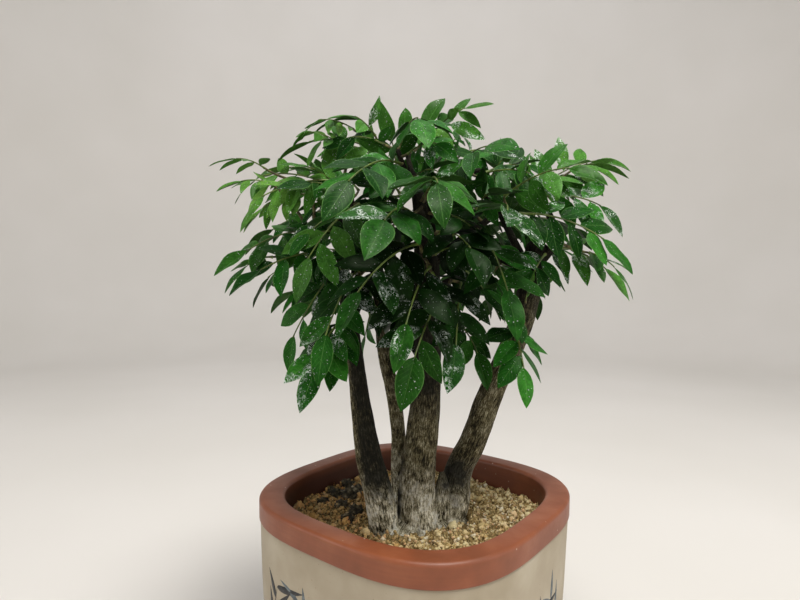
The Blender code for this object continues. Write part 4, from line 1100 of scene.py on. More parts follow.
SHOOTS = [
    # the same values, for the small shoots that only this file adds
    ("fan_top_left", (-40, 12, 341), (-58, -2, 342), 7, 17, 0.80),
    ("fan_top_left_low", (-46, 6, 330), (-64, -6, 334), 6, 16, 0.75),
    ("fill_top_left", (-27, 14, 338), (-38, 4, 346), 5, 20, 0.30),
    ("arch_top_right", (8, 8, 338), (25, -4, 349), 6, 19, 0.60),
    ("tip_left_high", (-91, 4, 316), (-104, -6, 319), 5, 17, 0.90),
    ("tip_left_mid", (-85, -6, 305), (-99, -14, 305), 5, 17, 0.95),
    ("fill_left_high", (-41, 24, 292), (-48, 10, 306), 6, 22, 0.25),
    ("fill_left_inner", (-16, 26, 293), (-27, 8, 305), 6, 22, 0.10),
    ("fill_mid_inner", (7, 26, 285), (12, 10, 304), 6, 22, 0.10),
    ("fill_right_inner", (22, 26, 280), (36, 12, 296), 6, 22, 0.10),
    ("fill_heart", (-10, 24, 269), (-26, 6, 276), 5, 22, 0.05),
    ("fill_right_low", (38, 24, 244), (44, 6, 241), 5, 20, 0.05),
    ("low_right_cluster", (26, 8, 224), (34, -4, 210), 6, 22, 0.15),
    ("fill_left_low", (-26, 24, 241), (-32, 18, 217), 5, 20, 0.05),
    ("low_left_oval", (-37, -14, 211), (-51, -26, 206), 4, 23, 0.10),
    ("left_low_tip", (-86, 2, 264), (-97, -8, 259), 4, 21, 0.30),
    ("arch_right_tip", (90, 6, 317), (100, 0, 319), 4, 21, 0.40),
    ("right_low_tip", (99, 0, 268), (110, -8, 260), 3, 22, 0.20),
    ("bud_right_trunk", (74, 20, 265), (83, 18, 256), 4, 13, 0.30),
    ("fill_right_high", (49, 18, 292), (53, 8, 308), 5, 20, 0.10),
    ("fill_top_inner", (-8, 18, 311), (-19, 6, 319), 5, 18, 0.30),
    ("fill_top_mid", (4, 18, 306), (9, 6, 317), 5, 18, 0.20),
    ("fill_top_right", (42, 20, 310), (49, 10, 323), 5, 20, 0.20),
    ("back_fill_low", (-16, 45, 238), (-22, 80, 249), 6, 24, 0.05),
    ("back_fill_high", (16, 45, 310), (25, 80, 334), 6, 24, 0.05),
    ("back_fill_left", (-51, 50, 271), (-68, 85, 287), 6, 24, 0.05),
    ("back_fill_right", (43, 50, 271), (62, 85, 286), 6, 24, 0.05),
    ("fill_left_front", (-40, -8, 300), (-50, -22, 304), 6, 20, 0.20),
    ("fill_mid_high", (8, -14, 290), (17, -20, 300), 6, 20, 0.15),
    ("fill_heart_left", (-12, -2, 272), (-24, -8, 270), 6, 20, 0.05),
    ("fill_left_heart", (-33, 0, 290), (-36, -16, 288), 6, 20, 0.10),
    ("fan_left_young", (-60, -16, 304), (-82, -24, 301), 8, 18, 0.90),
    ("fan_left_low", (-64, -16, 298), (-84, -26, 289), 8, 17, 0.90),
]
FRONT_SHOOTS = [
    # the same values, for shoots that hide the middle trunk behind them
    ("hide_mid", (-3, -24, 280), (-9, -40, 286), 6, 23, 0.10),
    ("hide_mid_right", (11, -22, 278), (22, -38, 282), 6, 23, 0.05),
    ("hide_high", (2, -16, 298), (9, -30, 305), 6, 22, 0.15),
    ("hide_high_left", (-12, -14, 300), (-22, -26, 306), 6, 22, 0.10),
    ("hide_high_right", (30, -16, 290), (36, -28, 298), 6, 22, 0.10),
    ("low_right_hang", (56, -4, 226), (62, -16, 214), 4, 23, 0.05),
]
INNER_SHOOTS = 46
INNER_REACH = 80
INNER_START = (7, 11)
INNER_STALK = (17, 27)
INNER_LEAF = (17, 22)
INNER_LEAFLETS = (5, 6, 7)
GAP = 0.3 * MM
FIRST_FORK = 4
JOINT_INSET = 0.05
SHORT_TWIG = 8 * MM
TWIG_SHARE = 0.9
TWIG_BEND = 0.35
TWIG_ROOT_RADIUS = 1.3 * MM
TWIG_END_RADIUS = 1.05 * MM
RACHIS_ROOT = 1.05 * MM
RACHIS_TIP = 0.85 * MM
RACHIS_SPANS = 3
RACHIS_ARCH = 0.18
STALK_END = 0.965
CANOPY_AXIS = (2, 24)
CANOPY_HALF = (118, 70)
OUTWARD_FACING = 1.6
FIRST_LEAFLET = 0.13
LEAFLET_RUN = 0.80
LEAFLET_SIZE = (0.84, 0.14)
LENGTH_DRAW = (0.92, 1.06)
FAN_ROOT = math.radians(66)
FAN_CLOSING = math.radians(26)
FAN_DRAW = 0.22
LIFT_DRAW = (-0.30, 0.26)
ROLL_DRAW = 0.5
PITCH_DRAW = 0.3
DROOP_DRAW = (0.04, 0.12)
SAG = Vector((0, 0, -0.22))
TRY_SPREAD = 0.16
TRY_SHRINK = 0.012
SEED_STEP = 1000
LEAF_STATIONS = [(0.20, 0.78), (0.45, 1.0), (0.78, 0.52)]
LEAF_CREST = 0.42
LEAF_WIDTH = 0.56
LEAF_THICKNESS = 0.95 * MM
LEAF_SUNK = 0.25 * MM
LEAF_ROOT = 0.4 * MM
LEAF_CLEARANCE = 0.35 * MM
LEAF_TRIES = 24


def at(point):
    """A table's place in millimetres, in metres."""
    return Vector(point[:3]) * MM


def bend(start, middle, end, spans):
    """Points on a quadratic curve."""
    shares = [k / spans for k in range(spans + 1)]
    return [start * (1 - t) ** 2 + middle * (2 * t * (1 - t)) + end * t * t for t in shares]


def rachis_curve(spray):
    """The three points that a spray's stalk bends along, arched a little upwards."""
    start, end = at(spray[1]), at(spray[2])
    return start, (start + end) / 2 + Vector((0, 0, RACHIS_ARCH * (end - start).length)), end


def tube_rings(points, radii, sides, ripple=0.0, first=None, last=None, side=None):
    """Coarse rings round a centre line. first and last are directions that its ends are square to."""
    rings = []
    for k, point in enumerate(points):
        ahead = points[min(k + 1, len(points) - 1)] - points[max(k - 1, 0)]
        if k == 0 and first is not None:
            ahead = first
        if k == len(points) - 1 and last is not None:
            ahead = last
        ahead = ahead.normalized()
        if side is None:
            side = ahead.orthogonal().normalized()
        side = (side - ahead * side.dot(ahead)).normalized()
        across = ahead.cross(side)
        ring = []
        for n in range(sides):
            turn = 2 * math.pi * n / sides
            wave = 1 + ripple * (math.sin(3 * turn + 1.7 * k) + 0.6 * math.sin(2 * turn - k))
            ring.append(point + (side * math.cos(turn) + across * math.sin(turn)) * radii[k] * wave)
        rings.append(ring)
    return rings


def nearest_on_wood(point, lines):
    """The place on the trunks and branches that is nearest to a point, and the radius there."""
    best = None
    for points, radii in lines:
        for k in range(len(points) - 1):
            run = points[k + 1] - points[k]
            share = (point - points[k]).dot(run) / run.length_squared
            share = min(1 - JOINT_INSET, max(JOINT_INSET, share))
            spot = points[k] + run * share
            away = (point - spot).length
            if best is None or away < best[0]:
                best = (away, spot, radii[k] + (radii[k + 1] - radii[k]) * share)
    return best[1], best[2]


def wood_tubes(sprays):
    """Coarse tubes round all the wood, which the leaflets keep clear of, and every twig's curve."""
    tubes, lines, twigs = [], [], []
    for table in TRUNKS.values():
        points = [at(row) for row in table]
        radii = [row[3] * MM / 2 for row in table]
        tubes.append(tube_rings(points, radii, 8, 0.05))
        lines.append((points[FIRST_FORK:], radii[FIRST_FORK:]))
    for root, end, table in BRANCHES:
        points = [at(row) for row in table]
        last = len(points) - 1
        radii = [(root + (end - root) * k / last) * MM / 2 for k in range(last + 1)]
        tubes.append(tube_rings(points, radii, 5))
        lines.append((points, radii))
    for spray in sprays:
        start, middle, end = rachis_curve(spray)
        ahead = (middle - start).normalized()
        tip = start - ahead * GAP / 2
        root, radius = nearest_on_wood(tip, lines)
        reach = (tip - root).length
        spans = 1 if reach < SHORT_TWIG else 2
        points = bend(root, tip - ahead * TWIG_BEND * reach, tip, spans)
        thick = min(TWIG_ROOT_RADIUS, radius * TWIG_SHARE)
        radii = [thick + (TWIG_END_RADIUS - thick) * k / spans for k in range(spans + 1)]
        tubes.append(tube_rings(points, radii, 3, last=ahead))
        twigs.append((bend(root, tip - ahead * TWIG_BEND * reach, start + ahead * GAP, 10), thick))
    return tubes, twigs


def inner_shoots():
    """Small dark shoots all through the canopy: each starts near a seeded point of a branch."""
    draw = random.Random(SEED)
    shoots = []
    for k in range(INNER_SHOOTS):
        table = draw.choice(BRANCHES)[2]
        n = draw.randrange(len(table) - 1)
        root = Vector(table[n]).lerp(Vector(table[n + 1]), draw.uniform(0.2, 1.0))
        way = Vector((draw.uniform(-1, 1), draw.uniform(-1, 0.7), draw.uniform(-0.35, 0.5))).normalized()
        start = root + way * draw.uniform(*INNER_START)
        end = start + (way + Vector((0, 0, -0.2))) * draw.uniform(*INNER_STALK)
        leaflets, longest = draw.choice(INNER_LEAFLETS), draw.uniform(*INNER_LEAF)
        if abs(end.x) < INNER_REACH:
            shoots.append((f"inner_{k:02d}", tuple(start), tuple(end), leaflets, longest, 0.05))
    return shoots


def facing(base, ahead):
    """The way that a spray's upper side faces: up and away from the middle of the canopy."""
    x = base.x / MM - CANOPY_AXIS[0]
    y = base.y / MM - CANOPY_AXIS[1]
    outward = Vector((x / CANOPY_HALF[0] ** 2, y / CANOPY_HALF[1] ** 2, 0.0)).normalized()
    up = Vector((0, 0, 1)) + outward * OUTWARD_FACING
    return (up - ahead * up.dot(ahead)).normalized()


def stalk_rings(spray):
    """The coarse rings of a spray's stalk, which starts a gap beyond the end of its twig."""
    start, middle, end = rachis_curve(spray)
    ahead = (middle - start).normalized()
    points = bend(start, middle, end, RACHIS_SPANS)
    points[0] = start + ahead * GAP / 2
    taper = (RACHIS_TIP - RACHIS_ROOT) / RACHIS_SPANS
    radii = [RACHIS_ROOT + taper * k for k in range(RACHIS_SPANS + 1)]
    return tube_rings(points, radii, 3, first=ahead, side=-facing(start, ahead))


def tube_solid(rings):
    """Corners and triangles of a tube through equal rings, closed at both ends."""
    corners = [point for ring in rings for point in ring]
    sides = len(rings[0])
    faces = []
    for k in range(len(rings) - 1):
        for n in range(sides):
            a = k * sides + n
            b = k * sides + (n + 1) % sides
            faces += [(a, b, b + sides), (a, b + sides, a + sides)]
    last = len(corners) - sides
    for n in range(1, sides - 1):
        faces += [(0, n + 1, n), (last, last + n, last + n + 1)]
    return corners, faces


class Leaflet:
    """Where a leaflet grows: its base, direction, upper side, length, and how far its tip droops."""

    def __init__(self, base, ahead, up, length, droop):
        self.base = base
        self.ahead = ahead.normalized()
        self.up = (up - self.ahead * up.dot(self.ahead)).normalized()
        self.side = self.ahead.cross(self.up)
        self.length = length
        self.droop = droop

    def spot(self, along, aside, rise):
        """A place on the blade, which bends down along a parabola."""
        bent = self.base + self.ahead * (along * self.length) + self.side * aside
        return bent + self.up * (rise - self.droop * self.length * along * along)

    def solid(self, grown=0.0):
        """Corners and triangles of the room that the blade takes, larger all round by an amount."""
        more = grown / self.length
        half = LEAF_WIDTH * self.length / 2
        low = -LEAF_THICKNESS / 2 - grown
        corners = [self.spot(-LEAF_SUNK / self.length, 0.0, -LEAF_ROOT / 2)]
        for along, share in LEAF_STATIONS:
            corners.append(self.spot(along, half * share + grown, low))
            corners.append(self.spot(along, -half * share - grown, low))
        tip = len(corners)
        corners.append(self.spot(1.0 + more, 0.0, low))
        crest = tip + 1
        corners.append(self.spot(LEAF_CREST, 0.0, LEAF_THICKNESS / 2 + grown))
        root = tip + 2
        corners.append(self.spot(-LEAF_SUNK / self.length, 0.0, LEAF_ROOT / 2))
        faces = [(0, 2, 1), (tip - 2, tip - 1, tip), (0, 1, root), (0, root, 2)]
        faces += [(root, 1, crest), (2, root, crest)]
        for a in range(1, tip - 2, 2):
            faces += [(a, a + 1, a + 2), (a + 1, a + 3, a + 2), (a, a + 2, crest), (a + 3, a + 1, crest)]
        faces += [(tip - 2, tip, crest), (tip, tip - 1, crest)]
        return corners, faces


class Neighbours:
    """What a new leaflet must stay clear of."""

    def __init__(self):
        self.boxes = []
        self.trees = []
        self.owners = []

    def add(self, corners, faces, owner):
        """Take in one solid and the spray that it belongs to."""
        self.boxes.append(box_of(corners))
        self.trees.append(BVHTree.FromPolygons(corners, faces))
        self.owners.append(owner)

    def hit(self, corners, faces, but):
        """Whether a solid would touch any neighbour, apart from those of one owner."""
        box = box_of(corners)
        boxes = np.array(self.boxes)
        near = np.all((boxes[:, :3] <= box[3:]) & (boxes[:, 3:] >= box[:3]), axis=1)
        tree = BVHTree.FromPolygons(corners, faces)
        for k in np.flatnonzero(near):
            if self.owners[k] != but and tree.overlap(self.trees[k]):
                return True
        return False


def box_of(corners):
    """The least and greatest x, y and z of a solid's corners."""
    points = np.array([tuple(corner) for corner in corners])
    return np.concatenate([points.min(axis=0), points.max(axis=0)])


def leaflet_choice(spray, t, hand, length, draw, spread):
    """One way to set a leaflet at t along a stalk: hand is 1 or -1 at the sides, 0 at the end."""
    start, middle, end = rachis_curve(spray)
    span = min(RACHIS_SPANS - 1, int(t * RACHIS_SPANS))
    points = bend(start, middle, end, RACHIS_SPANS)
    base = points[span].lerp(points[span + 1], t * RACHIS_SPANS - span)
    ahead = ((middle - start) * (1 - t) + (end - middle) * t).normalized()
    up = facing(base, ahead)
    side = ahead.cross(up) * hand
    fan = FAN_ROOT - FAN_CLOSING * t if hand else 0.0
    fan += draw.uniform(-FAN_DRAW, FAN_DRAW) * spread
    lift = draw.uniform(*LIFT_DRAW) * spread
    way = ahead * math.cos(fan) + side * math.sin(fan) + up * lift + SAG
    roll = draw.uniform(-ROLL_DRAW, ROLL_DRAW) * spread
    face = up + side * roll + ahead * draw.uniform(-PITCH_DRAW, PITCH_DRAW) * spread
    if not hand:
        face += ahead.cross(up) * roll
    return Leaflet(base, way, face, length, draw.uniform(*DROOP_DRAW))


def leaflet_places(sprays, first):
    """Every leaflet's rank, stalk, share along it, hand and size: the ends first, then back from them."""
    places = []
    for order, spray in enumerate(sprays, first):
        last = spray[3] - 1
        places.append((0, order, STALK_END, 0, 1.0))
        for k in range(last - 1, -1, -1):
            share = FIRST_LEAFLET + LEAFLET_RUN * k / last
            hand = 1 if (k + order) % 2 else -1
            size = LEAFLET_SIZE[0] + LEAFLET_SIZE[1] * math.sin(math.pi * share)
            places.append((last - k, order, share, hand, size))
    places.sort(key=lambda row: (row[0] > 0, row[1], row[0]))
    return places


def plan_leaflets(tubes):
    """Leaflets of every spray, all clear of the rest, with the small shoots fitted in last."""
    taken = Neighbours()
    count = len(TRUNKS) + len(BRANCHES) + len(SPRAYS)
    for tube_here in tubes[:count]:
        taken.add(*tube_solid(tube_here), "wood")
    for spray in SPRAYS:
        taken.add(*tube_solid(stalk_rings(spray)), spray[0])
    everything = SPRAYS + EXTRAS
    leaflets = {spray[0]: [] for spray in everything}
    own = {spray[0]: [] for spray in everything}
    places = leaflet_places(SPRAYS, 0) + leaflet_places(EXTRAS, len(SPRAYS))
    for rank, order, share, hand, size in places:
        spray = everything[order]
        draw = random.Random(SEED + SEED_STEP * order + rank)
        for attempt in range(LEAF_TRIES):
            length = spray[4] * MM * size * draw.uniform(*LENGTH_DRAW) * (1 - TRY_SHRINK * attempt)
            choice = leaflet_choice(spray, share, hand, length, draw, 1.0 + TRY_SPREAD * attempt)
            corners, faces = choice.solid(LEAF_CLEARANCE)
            if taken.hit(corners, faces, spray[0]):
                continue
            if any(BVHTree.FromPolygons(corners, faces).overlap(tree) for tree in own[spray[0]]):
                continue
            leaflets[spray[0]].append(choice)
            corners, faces = choice.solid()
            taken.add(corners, faces, spray[0])
            own[spray[0]].append(BVHTree.FromPolygons(corners, faces))
            break
    return leaflets


# Leaflet blades: thin leathery ovals with a drawn-out tip, folded a little along a pale midrib and
# waved at the edge, deep green and glossy above, greyer and matte below, each with fine side veins.
BLADE_ROWS = np.array([0.0, 0.05, 0.12, 0.22, 0.34, 0.46, 0.58, 0.70, 0.82, 0.92])
BLADE_COLUMNS = np.array([-1.0, -0.5, 0.0, 0.5, 1.0])
BLADE_PETIOLE = 0.045
BLADE_CREST = 0.43
BLADE_ROUNDNESS = 1.70
BLADE_WIDTH = 0.475
BLADE_THICKNESS = 0.32 * MM
PETIOLE_RADIUS = 0.42 * MM
YOUNG_NARROWNESS = 0.34
STALK_COLUMNS = 8
TWIG_COLUMNS = 8
STALK_ROWS = 14
STALK_RADII = (0.34, 0.24, 0.50)
STALK_FULL = 22
STALK_INSIDE = 0.8 * MM
FOLD_DRAW = (-0.12, 0.48)
BULGE_DRAW = (0.03, 0.20)
WAVE_DRAW = (0.0, 0.14)
TWIST_DRAW = (-0.5, 0.5)
BEND_DRAW = (-0.07, 0.07)
CURL_DRAW = (0.0, 0.42)
CURL_FROM = 0.45
# The share of leaflets that wear a film of water, and the places that caught more of the spray.
WET_SHARE = 0.07
WET_SPOTS = [
    (-2, -62, 240, 28, 0.85), (88, -12, 296, 28, 0.75), (10, -40, 316, 24, 0.55),
    (-40, -50, 222, 18, 0.35)]
# Leaflets are painted darker, as painted shade, the deeper they sit in this ellipsoid round the canopy.
CANOPY_MIDDLE = (0, -20, 256)
CANOPY_REACH = (67, 96, 55)
INNER_SHARE = 0.5
INNER_LIGHT = 0.13
# The mist's beads stand 1.2 mm apart and the runs of the water film wander 2.4 mm apart; both are painted
# on the leaves as pale specks and lines, painted highlights of the water. Both are about twice as coarse
# as the real ones, so that they show.
MIST_CELLS = 1 / (1.2 * MM)
FILM_RUNS = 1 / (2.4 * MM)
MIST_BARE = 0.60


def blade_half(a):
    """Half width by the share along the blade: zero on the short stalk, then a rounded pointed oval."""
    t = np.clip((a - BLADE_PETIOLE) / (1 - BLADE_PETIOLE), 0.0, 1.0)
    low = BLADE_CREST * BLADE_ROUNDNESS
    high = (1 - BLADE_CREST) * BLADE_ROUNDNESS
    return (t / BLADE_CREST) ** low * ((1 - t) / (1 - BLADE_CREST)) ** high


class Blades:
    """Many leaflets' surfaces as arrays, so that any place on any of them is one formula."""

    def __init__(self, leaflets, youth, draw):
        self.base, self.ahead, self.side, self.up = (
            np.array([tuple(getattr(leaf, name)) for leaf in leaflets])
            for name in ("base", "ahead", "side", "up"))
        self.length = np.array([leaf.length for leaf in leaflets])
        self.droop = np.array([leaf.droop for leaf in leaflets])
        count = len(leaflets)
        self.youth = np.clip(youth * draw.uniform(0.6, 1.15, count) + draw.uniform(0, 0.08, count), 0, 1)
        self.fold = draw.uniform(*FOLD_DRAW, count)
        self.bulge = draw.uniform(*BULGE_DRAW, count)
        self.wave = draw.uniform(*WAVE_DRAW, count)
        self.phase = draw.uniform(0, 2 * np.pi, count)
        self.twist = draw.uniform(*TWIST_DRAW, count)
        self.bend = draw.uniform(*BEND_DRAW, count)
        self.curl = draw.uniform(*CURL_DRAW, count)
        self.breadth = draw.uniform(0.86, 1.12, count) * (1 - YOUNG_NARROWNESS * self.youth)
        self.tone = draw.uniform(0, 1, count)
        misted = WET_SHARE
        for x, y, z, radius, more in WET_SPOTS:
            away = np.linalg.norm(self.base / MM - (x, y, z), axis=1) / radius
            misted = misted + more * np.exp(-away ** 2)
        self.wet = (draw.uniform(0, 1, count) < misted * (1 - self.youth)) * 1.0
        # How deep a leaflet sits in the canopy: its colour is painted darker there as shade.
        off = (self.base / MM - CANOPY_MIDDLE) / CANOPY_REACH
        self.depth = np.clip((1 - np.linalg.norm(off, axis=1)) / INNER_SHARE, 0, 1)

    def place(self, k, a, s, sunk=0.0):
        """The place a along and s across blade k: folded at its rib, bulged, waved, twisted, curled."""
        length = self.length[k]
        half = 0.5 * BLADE_WIDTH * length * self.breadth[k] * blade_half(a)
        half = np.maximum(half, PETIOLE_RADIUS)
        out = half * s
        off = np.abs(s)
        rise = self.fold[k] * half * (off - 0.4) + 4 * self.bulge[k] * half * off * (1 - off)
        rise = rise + self.wave[k] * half * off * np.sin(9 * a + self.phase[k] + 1.1 * np.sign(s))
        rise = rise + self.twist[k] * (a - 0.25) * out * 0.6 - sunk
        rise = rise - self.droop[k] * length * a * a
        rise = rise - self.curl[k] * length * np.maximum(a - CURL_FROM, 0) ** 2
        aside = out + self.bend[k] * length * a * a
        return (
            self.base[k] + self.ahead[k] * (a * length)[..., None]
            + self.side[k] * aside[..., None] + self.up[k] * rise[..., None])


def blade_faces():
    """One blade's faces, the upper side first: both sides share the edge and close at base and tip."""
    rows, columns = len(BLADE_ROWS), len(BLADE_COLUMNS)
    middle = rows * columns + 1
    tip = rows * columns
    above, below = [], []
    for r in range(rows - 1):
        a, b = r * columns, (r + 1) * columns
        above += [(a + c, b + c, b + c + 1, a + c + 1) for c in range(columns - 1)]
        below.append((a, middle + r, middle + r + 1, b))
        below.append((middle + r, a + columns - 1, b + columns - 1, middle + r + 1))
    a = (rows - 1) * columns
    above += [(a + c, tip, a + c + 1) for c in range(columns - 1)]
    below += [(a, middle + rows - 1, tip), (middle + rows - 1, a + columns - 1, tip)]
    below += [(c, c + 1, middle) for c in range(columns - 1)]
    return above, below


def leather_blade(name, mature, young, vein, roughness, misted):
    """A leaflet's skin: colour by age, a paler midrib and feathered veins, a pale edge that is partly
    painted highlight, darker as painted shade deep in the canopy, and specks and films of mist painted
    pale as glints.
    """
    made, tree, shader = begin_material(
        name, roughness, Specular_IOR_Level=0.10, Specular_Tint=linear("#DAF2CC"))
    maps = add_node(tree, "TexCoord")
    where = maps.outputs["Object"]
    parts = add_node(tree, "SeparateXYZ", {"Vector": maps.outputs["UV"]})
    youth = add_node(tree, "Attribute", attribute_name="youth").outputs["Fac"]
    tone = add_node(tree, "Attribute", attribute_name="tone").outputs["Fac"]
    clouds = add_node(tree, "TexNoise", {"Vector": where, "Scale": 0.23 / MM, "Detail": 3.0})
    mixed = add_node(tree, "Math", {0: tone, 1: clouds}, operation="MULTIPLY")
    old = add_node(
        tree, "ValToRGB", {"Fac": mixed}, stops=[(0.05, mature[0]), (0.55, mature[2]), (0.28, mature[1])])
    fresh = add_node(tree, "ValToRGB", {"Fac": mixed}, stops=[(0.1, young[0]), (0.5, young[1])])
    body = add_node(tree, "Mix", {0: youth, 6: old, 7: fresh}, data_type="RGBA")
    # Painted shade: the deeper a leaflet sits in the canopy, the darker its colour and its painted
    # glints.
    depth = add_node(tree, "Attribute", attribute_name="depth").outputs["Fac"]
    inner_shade = add_node(tree, "MapRange", {"Value": depth, "To Min": 1.0, "To Max": INNER_LIGHT})
    across = add_node(tree, "Math", {0: parts.outputs["X"], 1: 0.5}, operation="SUBTRACT")
    away = add_node(tree, "Math", {0: across}, operation="ABSOLUTE")
    rib = add_node(
        tree, "MapRange",
        {"Value": away, "From Min": 0.006, "From Max": 0.028, "To Min": 0.30, "To Max": 0.0})
    # A pale edge: partly the margin's own colour, partly a painted highlight where light catches the
    # edge.
    rim = add_node(
        tree, "MapRange", {"Value": away, "From Min": 0.455, "From Max": 0.490, "To Max": 0.55})
    slant = add_node(tree, "Math", {0: away, 1: -0.55}, operation="MULTIPLY")
    along = add_node(tree, "Math", {0: parts.outputs["Y"], 1: slant}, operation="ADD")
    pitch = add_node(tree, "Math", {0: along, 1: 62.0}, operation="MULTIPLY")
    swing = add_node(tree, "Math", {0: pitch}, operation="SINE")
    side_vein = add_node(
        tree, "MapRange", {"Value": swing, "From Min": 0.80, "From Max": 1.0, "To Max": 0.12})
    pale = add_node(tree, "Math", {0: rib, 1: rim}, operation="MAXIMUM")
    lines = add_node(tree, "Math", {0: pale, 1: side_vein}, operation="MAXIMUM")
    veined = add_node(tree, "Mix", {0: lines, 6: body, 7: linear(vein)}, data_type="RGBA")
    grain = add_node(tree, "TexNoise", {"Vector": where, "Scale": 0.85 / MM, "Detail": 3.0})
    mottle = add_node(
        tree, "MapRange",
        {"Value": grain, "From Min": 0.32, "From Max": 0.68, "To Min": 0.76, "To Max": 1.24})
    shade_and_mottle = add_node(tree, "Math", {0: inner_shade, 1: mottle}, operation="MULTIPLY")
    colour = add_node(tree, "VectorMath", {0: veined, "Scale": shade_and_mottle}, operation="SCALE")
    # Painted highlights: mist beads drawn as pale specks on the colour.
    cells = add_node(tree, "TexVoronoi", {"Vector": where, "Scale": MIST_CELLS})
    drop = add_node(
        tree, "MapRange",
        {"Value": cells, "From Min": 0.055, "From Max": 0.175, "To Min": 0.72, "To Max": 0.0})
    some = add_node(tree, "Math", {0: cells.outputs["Color"], 1: MIST_BARE}, operation="GREATER_THAN")
    speck = add_node(tree, "Math", {0: drop, 1: some}, operation="MULTIPLY")
    # Painted highlights: the water film's glints as pale wandering lines on wet leaflets.
    film = add_node(
        tree, "TexNoise", {"Vector": where, "Scale": FILM_RUNS, "Detail": 1.0, "Distortion": 1.8})
    level = add_node(tree, "Math", {0: film, 1: 0.5}, operation="SUBTRACT")
    ridge = add_node(tree, "Math", {0: level}, operation="ABSOLUTE")
    threads = add_node(
        tree, "MapRange",
        {"Value": ridge, "From Min": 0.022, "From Max": 0.080, "To Min": 0.85, "To Max": 0.0})
    wet = add_node(tree, "Attribute", attribute_name="wet").outputs["Fac"]
    pools = add_node(tree, "TexNoise", {"Vector": where, "Scale": 0.12 / MM, "Detail": 2.0})
    pooled = add_node(tree, "MapRange", {"Value": pools, "From Min": 0.50, "From Max": 0.62})
    patch = add_node(tree, "Math", {0: wet, 1: pooled}, operation="MULTIPLY")
    sparkle = add_node(
        tree, "MapRange",
        {"Value": cells.outputs["Color"], "From Min": 0.30, "From Max": 0.62, "To Min": 0.25})
    broken = add_node(tree, "Math", {0: threads, 1: sparkle}, operation="MULTIPLY")
    film_glints = add_node(tree, "Math", {0: patch, 1: broken}, operation="MULTIPLY")
    glints = add_node(tree, "Math", {0: speck, 1: film_glints}, operation="MAXIMUM")
    seen = add_node(tree, "Math", {0: inner_shade, 1: 0.35}, operation="POWER")
    lit = add_node(tree, "Math", {0: seen, 1: misted}, operation="MULTIPLY")
    amount = add_node(tree, "Math", {0: glints, 1: lit}, operation="MULTIPLY")
    # The painted highlights, mixed into the colour in a pale glint tint.
    with_painted_glints = add_node(tree, "Mix", {0: amount, 6: colour, 7: linear("#E6F0EA")}, data_type="RGBA")
    gloss = add_node(tree, "MapRange", {"Value": patch, "To Min": roughness, "To Max": 0.16})
    relief = add_node(tree, "Math", {0: lines, 1: -0.6, 2: amount}, operation="MULTIPLY_ADD")
    bump = add_node(tree, "Bump", {"Height": relief, "Strength": 0.4, "Distance": 0.2 * MM})
    feed(shader, {"Base Color": with_painted_glints, "Roughness": gloss, "Normal": bump})
    return made


def green_stalk():
    """The live green rind of a stalk: olive to yellow-green, faintly streaked, satin."""
    made, tree, shader = begin_material("green_stalk_rind", 0.45)
    where = add_node(tree, "TexCoord").outputs["Object"]
    streaks = add_node(tree, "TexNoise", {"Vector": where, "Scale": 0.16 / MM, "Detail": 3.0})
    tone = add_node(tree, "ValToRGB", {"Fac": streaks}, stops=[(0.35, "#3A4A1A"), (0.65, "#667A30")])
    feed(shader, {"Base Color": tone})
    return made


def spray_mesh(name, spray, leaflets, finishes, draw):
    """One spray: its stalk, which tapers and swells at its heel, with every leaflet's closed blade."""
    start, middle, end = rachis_curve(spray)
    ahead = (middle - start).normalized()
    slim = min(1.0, spray[4] / STALK_FULL)
    path = bend(start - ahead * STALK_INSIDE, middle, end, STALK_ROWS - 1)
    path = np.array([tuple(point) for point in path])
    share = np.linspace(0, 1, STALK_ROWS)
    least, taper, heel = STALK_RADII
    radii = (least + taper * (1 - share) + heel * np.exp(-share * 16)) * MM * slim
    stalk = tube(path, radii, STALK_COLUMNS, domed=0.5)
    blades = Blades(leaflets, spray[5], draw)
    count = len(leaflets)
    k = np.arange(count)[:, None, None]
    top = blades.place(k, BLADE_ROWS[None, :, None], BLADE_COLUMNS[None, None, :])
    k = k[:, :, 0]
    tip = blades.place(k, np.ones((count, 1)), np.zeros((count, 1)))
    keel = blades.place(k, BLADE_ROWS[None, :], np.zeros((count, len(BLADE_ROWS))), BLADE_THICKNESS)
    leaf_points = np.concatenate([top.reshape(count, -1, 3), tip, keel], axis=1)
    above, below = blade_faces()
    corners = leaf_points.shape[1]
    faces = tube_faces(STALK_ROWS, STALK_COLUMNS)
    stalk_count = len(faces)
    for n in range(count):
        start_at = len(stalk) + n * corners
        faces += [tuple(start_at + corner for corner in face) for face in above + below]
    made = put(name, np.concatenate([stalk, leaf_points.reshape(-1, 3)]), faces, finishes)
    coat(made, [2] * stalk_count + ([0] * len(above) + [1] * len(below)) * count)
    across = (BLADE_COLUMNS[None, :] + 1) / 2 + 0 * BLADE_ROWS[:, None]
    along = BLADE_ROWS[:, None] + 0 * BLADE_COLUMNS[None, :]
    one_u = np.concatenate([across.ravel(), [0.5], np.full(len(BLADE_ROWS), 0.5)])
    one_v = np.concatenate([along.ravel(), [1.0], BLADE_ROWS])
    u = np.concatenate([np.zeros(len(stalk)), np.tile(one_u, count)])
    v = np.concatenate([np.zeros(len(stalk)), np.tile(one_v, count)])
    lay_map(made, "blade", u, v)
    for label in ("youth", "tone", "wet", "depth"):
        values = np.repeat(getattr(blades, label), corners)
        mark(made, label, np.concatenate([np.zeros(len(stalk)), values]))
    made.data.set_sharp_from_angle(angle=math.radians(62))
    return made, blades


